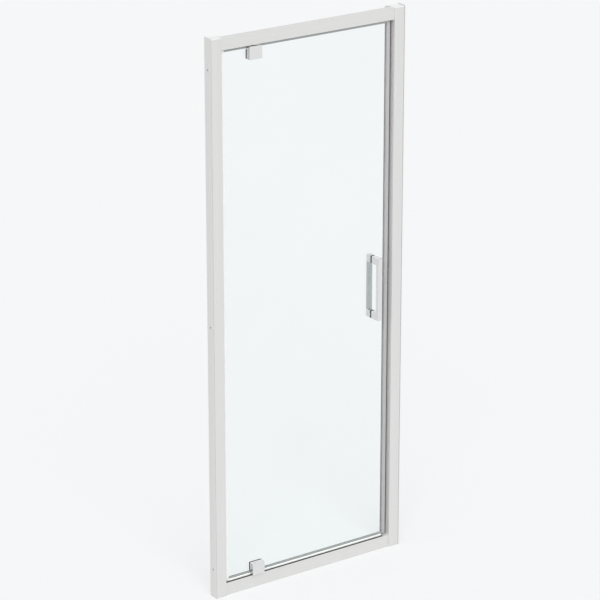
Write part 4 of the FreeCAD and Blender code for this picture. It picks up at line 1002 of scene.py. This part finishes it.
class DOOR_OT_fixings(bpy.types.Operator):
    """Make the screws, rivets and covers that show"""

    bl_idname = "door.fixings"
    bl_label = "Fixings"

    def execute(self, context):
        sizes = context.scene.door_fixings
        self.make_covers(sizes)
        pan = (sizes.shank, sizes.pan, sizes.pan_rise)
        socket = (sizes.clamp_shank, sizes.clamp, sizes.clamp_rise)
        self.make_back_screws("insert_screw", "frame", *pan, 0.5, 0.6, "cross")
        self.make_back_screws("clamp_screw", "door", *socket, 0.42, 0.66, "hex")
        self.make_rivets(sizes)
        self.make_grub_screws()
        return {"FINISHED"}

    def make_covers(self, sizes):
        """Domed covers over the adjusting screws."""
        low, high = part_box("screw_covers")
        radius = sizes.cover
        rise = high.y - low.y
        bend = rise * 0.45
        rings = [(radius, 0), (radius, rise - bend)]
        for step in range(7):
            turn = math.radians(90 * step / 6)
            rings.append((radius - bend + bend * math.cos(turn), rise - bend + bend * math.sin(turn)))
        cover = turned("screw_cover_piece", rings)
        covers = in_corners("screw_cover_caps", "screw_covers", cover, "caps", radius, low.y, 3)
        dress(covers, None, "cap_plastic", "frame", "screw_covers")

    def make_back_screws(self, name, body, shank, head, rise, recess, depth, shape):
        """Four screws that face back. recess and depth are shares of the head's radius and height."""
        node = name + "s"
        low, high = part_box(node)
        seat = high.y - rise
        length, crown, hollow = seat - low.y, rise * 0.4, head * recess
        rings = [
            (shank * 0.6, -length),
            (shank, -length + shank * 0.4),
            (shank, 0),
            (head, 0),
            (head, rise - crown),
            (head * 0.94, rise - crown * 0.4),
            (head * 0.78, rise),
            (hollow, rise, shape),
            (hollow * 0.9, rise - rise * depth, shape),
        ]
        screws = in_corners(name + "_set", node, turned(name + "_piece", rings), "steel", head, seat)
        dress(screws, None, "steel", body, node)

    def make_rivets(self, sizes):
        """Blind rivets that hold the strike profile to its post."""
        low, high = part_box("strike_rivets")
        seat = low.x + sizes.rivet_rise
        length = high.x - seat
        shank = sizes.rivet_shank
        head = sizes.rivet
        rise = sizes.rivet_rise
        rings = [
            (shank * 1.3, -length),
            (shank * 1.5, -length + shank * 0.3),
            (shank * 1.5, -length + shank),
            (shank, -length + shank),
            (shank, 0),
            (head, 0),
            (head, rise * 0.3),
            (head * 0.85, rise * 0.75),
            (head * 0.6, rise),
            (head * 0.35, rise),
            (head * 0.3, rise * 0.4),
        ]
        rivet = turned("strike_rivet_piece", rings)
        rivet.data.transform(FACING_LEFT)
        first = (seat, (low.y + high.y) / 2, low.z + head)
        rise_step = (0, 0, (high.z - low.z - 2 * head) / 3)
        rivets = in_rows("strike_rivet_set", rivet, "steel", first, rows=4, row_step=rise_step)
        dress(rivets, None, "steel", "frame", "strike_rivets")

    def make_grub_screws(self):
        """Grub screws under the legs of the inner handle."""
        low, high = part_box("grub_screws")
        radius = (high.x - low.x) / 2
        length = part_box("handle_studs")[0].z - low.z - STUD_ROOM
        rings = [
            (radius * 0.6, -length),
            (radius, -length + radius * 0.4),
            (radius, -radius * 0.15),
            (radius * 0.85, 0),
            (radius * 0.6, 0, "hex"),
            (radius * 0.57, -radius, "hex"),
        ]
        grub = turned("grub_screw_piece", rings)
        grub.data.transform(FACING_DOWN)
        first = ((low.x + high.x) / 2, (low.y + high.y) / 2, low.z)
        rise_step = (0, 0, high.z - low.z - length)
        grubs = in_rows("grub_screw_set", grub, "steel", first, rows=2, row_step=rise_step)
        dress(grubs, None, "steel", "door", "grub_screws")


class DOOR_OT_stage(bpy.types.Operator):
    """Set up the floor, the lamps and the camera"""

    bl_idname = "door.stage"
    bl_label = "Stage"

    def execute(self, context):
        scene = context.scene
        settings = scene.door_stage
        scene.view_settings.view_transform = "Standard"
        self.lay_floor(settings)
        self.light_room(scene, settings)
        for name, setting, spread, degrees in LAMPS:
            self.hang_lamp(name, getattr(settings, setting), spread, degrees)
        self.set_camera(scene)
        return {"FINISHED"}

    def seen_directly(self, tree):
        """1 for what the camera sees itself, through glass or in a mirror, 0 for what lights the door."""
        paths = add_node(tree, "ShaderNodeLightPath")
        seen = maths(tree, "MAXIMUM", paths.outputs["Is Camera Ray"], paths.outputs["Is Glossy Ray"])
        return maths(tree, "MAXIMUM", seen, paths.outputs["Is Transmission Ray"])

    def lay_floor(self, settings):
        """A wide plain floor just under the frame."""
        mesh = bpy.data.meshes.new("floor")
        work = bmesh.new()
        bmesh.ops.create_circle(work, cap_ends=True, radius=FLOOR_RADIUS, segments=96)
        work.to_mesh(mesh)
        work.free()
        mesh.transform(Matrix.Translation((0, 0, -FLOOR_DROP)))
        floor = put_in_scene("floor", mesh)
        material, tree, shader = new_material("Plain floor")
        cloud = noise(tree, object_place(tree), 0.6, 2.0)
        tone = tinted(tree, cloud, shifted(settings.floor, 0.995), shifted(settings.floor, 1.005))
        feed(tree, shader, {"Base Color": tone, "Roughness": 0.9, "Specular IOR Level": 0.1})
        share = maths(tree, "MULTIPLY", self.seen_directly(tree), settings.glow)
        white = add_node(tree, "ShaderNodeEmission", {"Color": SEEN_FLOOR, "Strength": 1.0})
        blend_in(tree, share, shader, white)
        mesh.materials.append(material)

    def light_room(self, scene, settings):
        """An even room that is seen as white and lights a little less."""
        world = bpy.data.worlds.new("Studio")
        scene.world = world
        world.use_nodes = True
        tree = world.node_tree
        tree.nodes.clear()
        strength = between(tree, self.seen_directly(tree), settings.room, SEEN_ROOM_STRENGTH)
        background = add_node(tree, "ShaderNodeBackground", {"Color": SEEN_ROOM, "Strength": strength})
        add_node(tree, "ShaderNodeOutputWorld", {"Surface": background.outputs[0]})

    def hang_lamp(self, name, strength, spread, degrees):
        """A wide lamp that shines the same way everywhere."""
        lamp = bpy.data.lights.new(name, "SUN")
        lamp.energy = strength
        lamp.angle = math.radians(spread)
        put_in_scene(name, lamp).rotation_euler = [math.radians(turn) for turn in degrees]

    def set_camera(self, scene):
        """The photograph's viewpoint: a long lens, above the door and to its left."""
        camera = bpy.data.cameras.new("Camera")
        camera.lens = CAMERA_LENS
        camera.clip_end = CAMERA_REACH
        item = put_in_scene("Camera", camera)
        item.location = CAMERA_PLACE
        item.rotation_euler = [math.radians(turn) for turn in CAMERA_TURNS]
        scene.camera = item


PIECES = (
    DOOR_OT_frame,
    DOOR_OT_glass,
    DOOR_OT_pivots,
    DOOR_OT_handles,
    DOOR_OT_seals,
    DOOR_OT_fixings,
    DOOR_OT_stage,
)


class DOOR_PT_panel(bpy.types.Panel):
    """The door's pieces and their settings"""

    bl_idname = "DOOR_PT_panel"
    bl_label = "Shower door"
    bl_space_type = "VIEW_3D"
    bl_region_type = "UI"
    bl_category = "Shower door"

    def draw(self, context):
        scene = context.scene
        for name, kind in SETTINGS:
            box = self.layout.box()
            for value in kind.__annotations__:
                box.prop(getattr(scene, name), value)
        for piece in PIECES:
            self.layout.operator(piece.bl_idname)


SETTINGS = (
    ("door_colours", DoorColours),
    ("door_glass", GlassSizes),
    ("door_edges", EdgeSizes),
    ("door_seals", SealSizes),
    ("door_fixings", FixingSizes),
    ("door_stage", StageSettings),
)


def register():
    for name, group in SETTINGS:
        bpy.utils.register_class(group)
        setattr(bpy.types.Scene, name, bpy.props.PointerProperty(type=group))
    for item in (*PIECES, DOOR_PT_panel):
        bpy.utils.register_class(item)


def unregister():
    for item in (DOOR_PT_panel, *reversed(PIECES)):
        bpy.utils.unregister_class(item)
    for name, group in reversed(SETTINGS):
        delattr(bpy.types.Scene, name)
        bpy.utils.unregister_class(group)


def main():
    """Register the add-on and make every piece in order."""
    register()
    for piece in PIECES:
        group, name = piece.bl_idname.split(".")
        getattr(getattr(bpy.ops, group), name)()


if __name__ == "__main__":
    main()
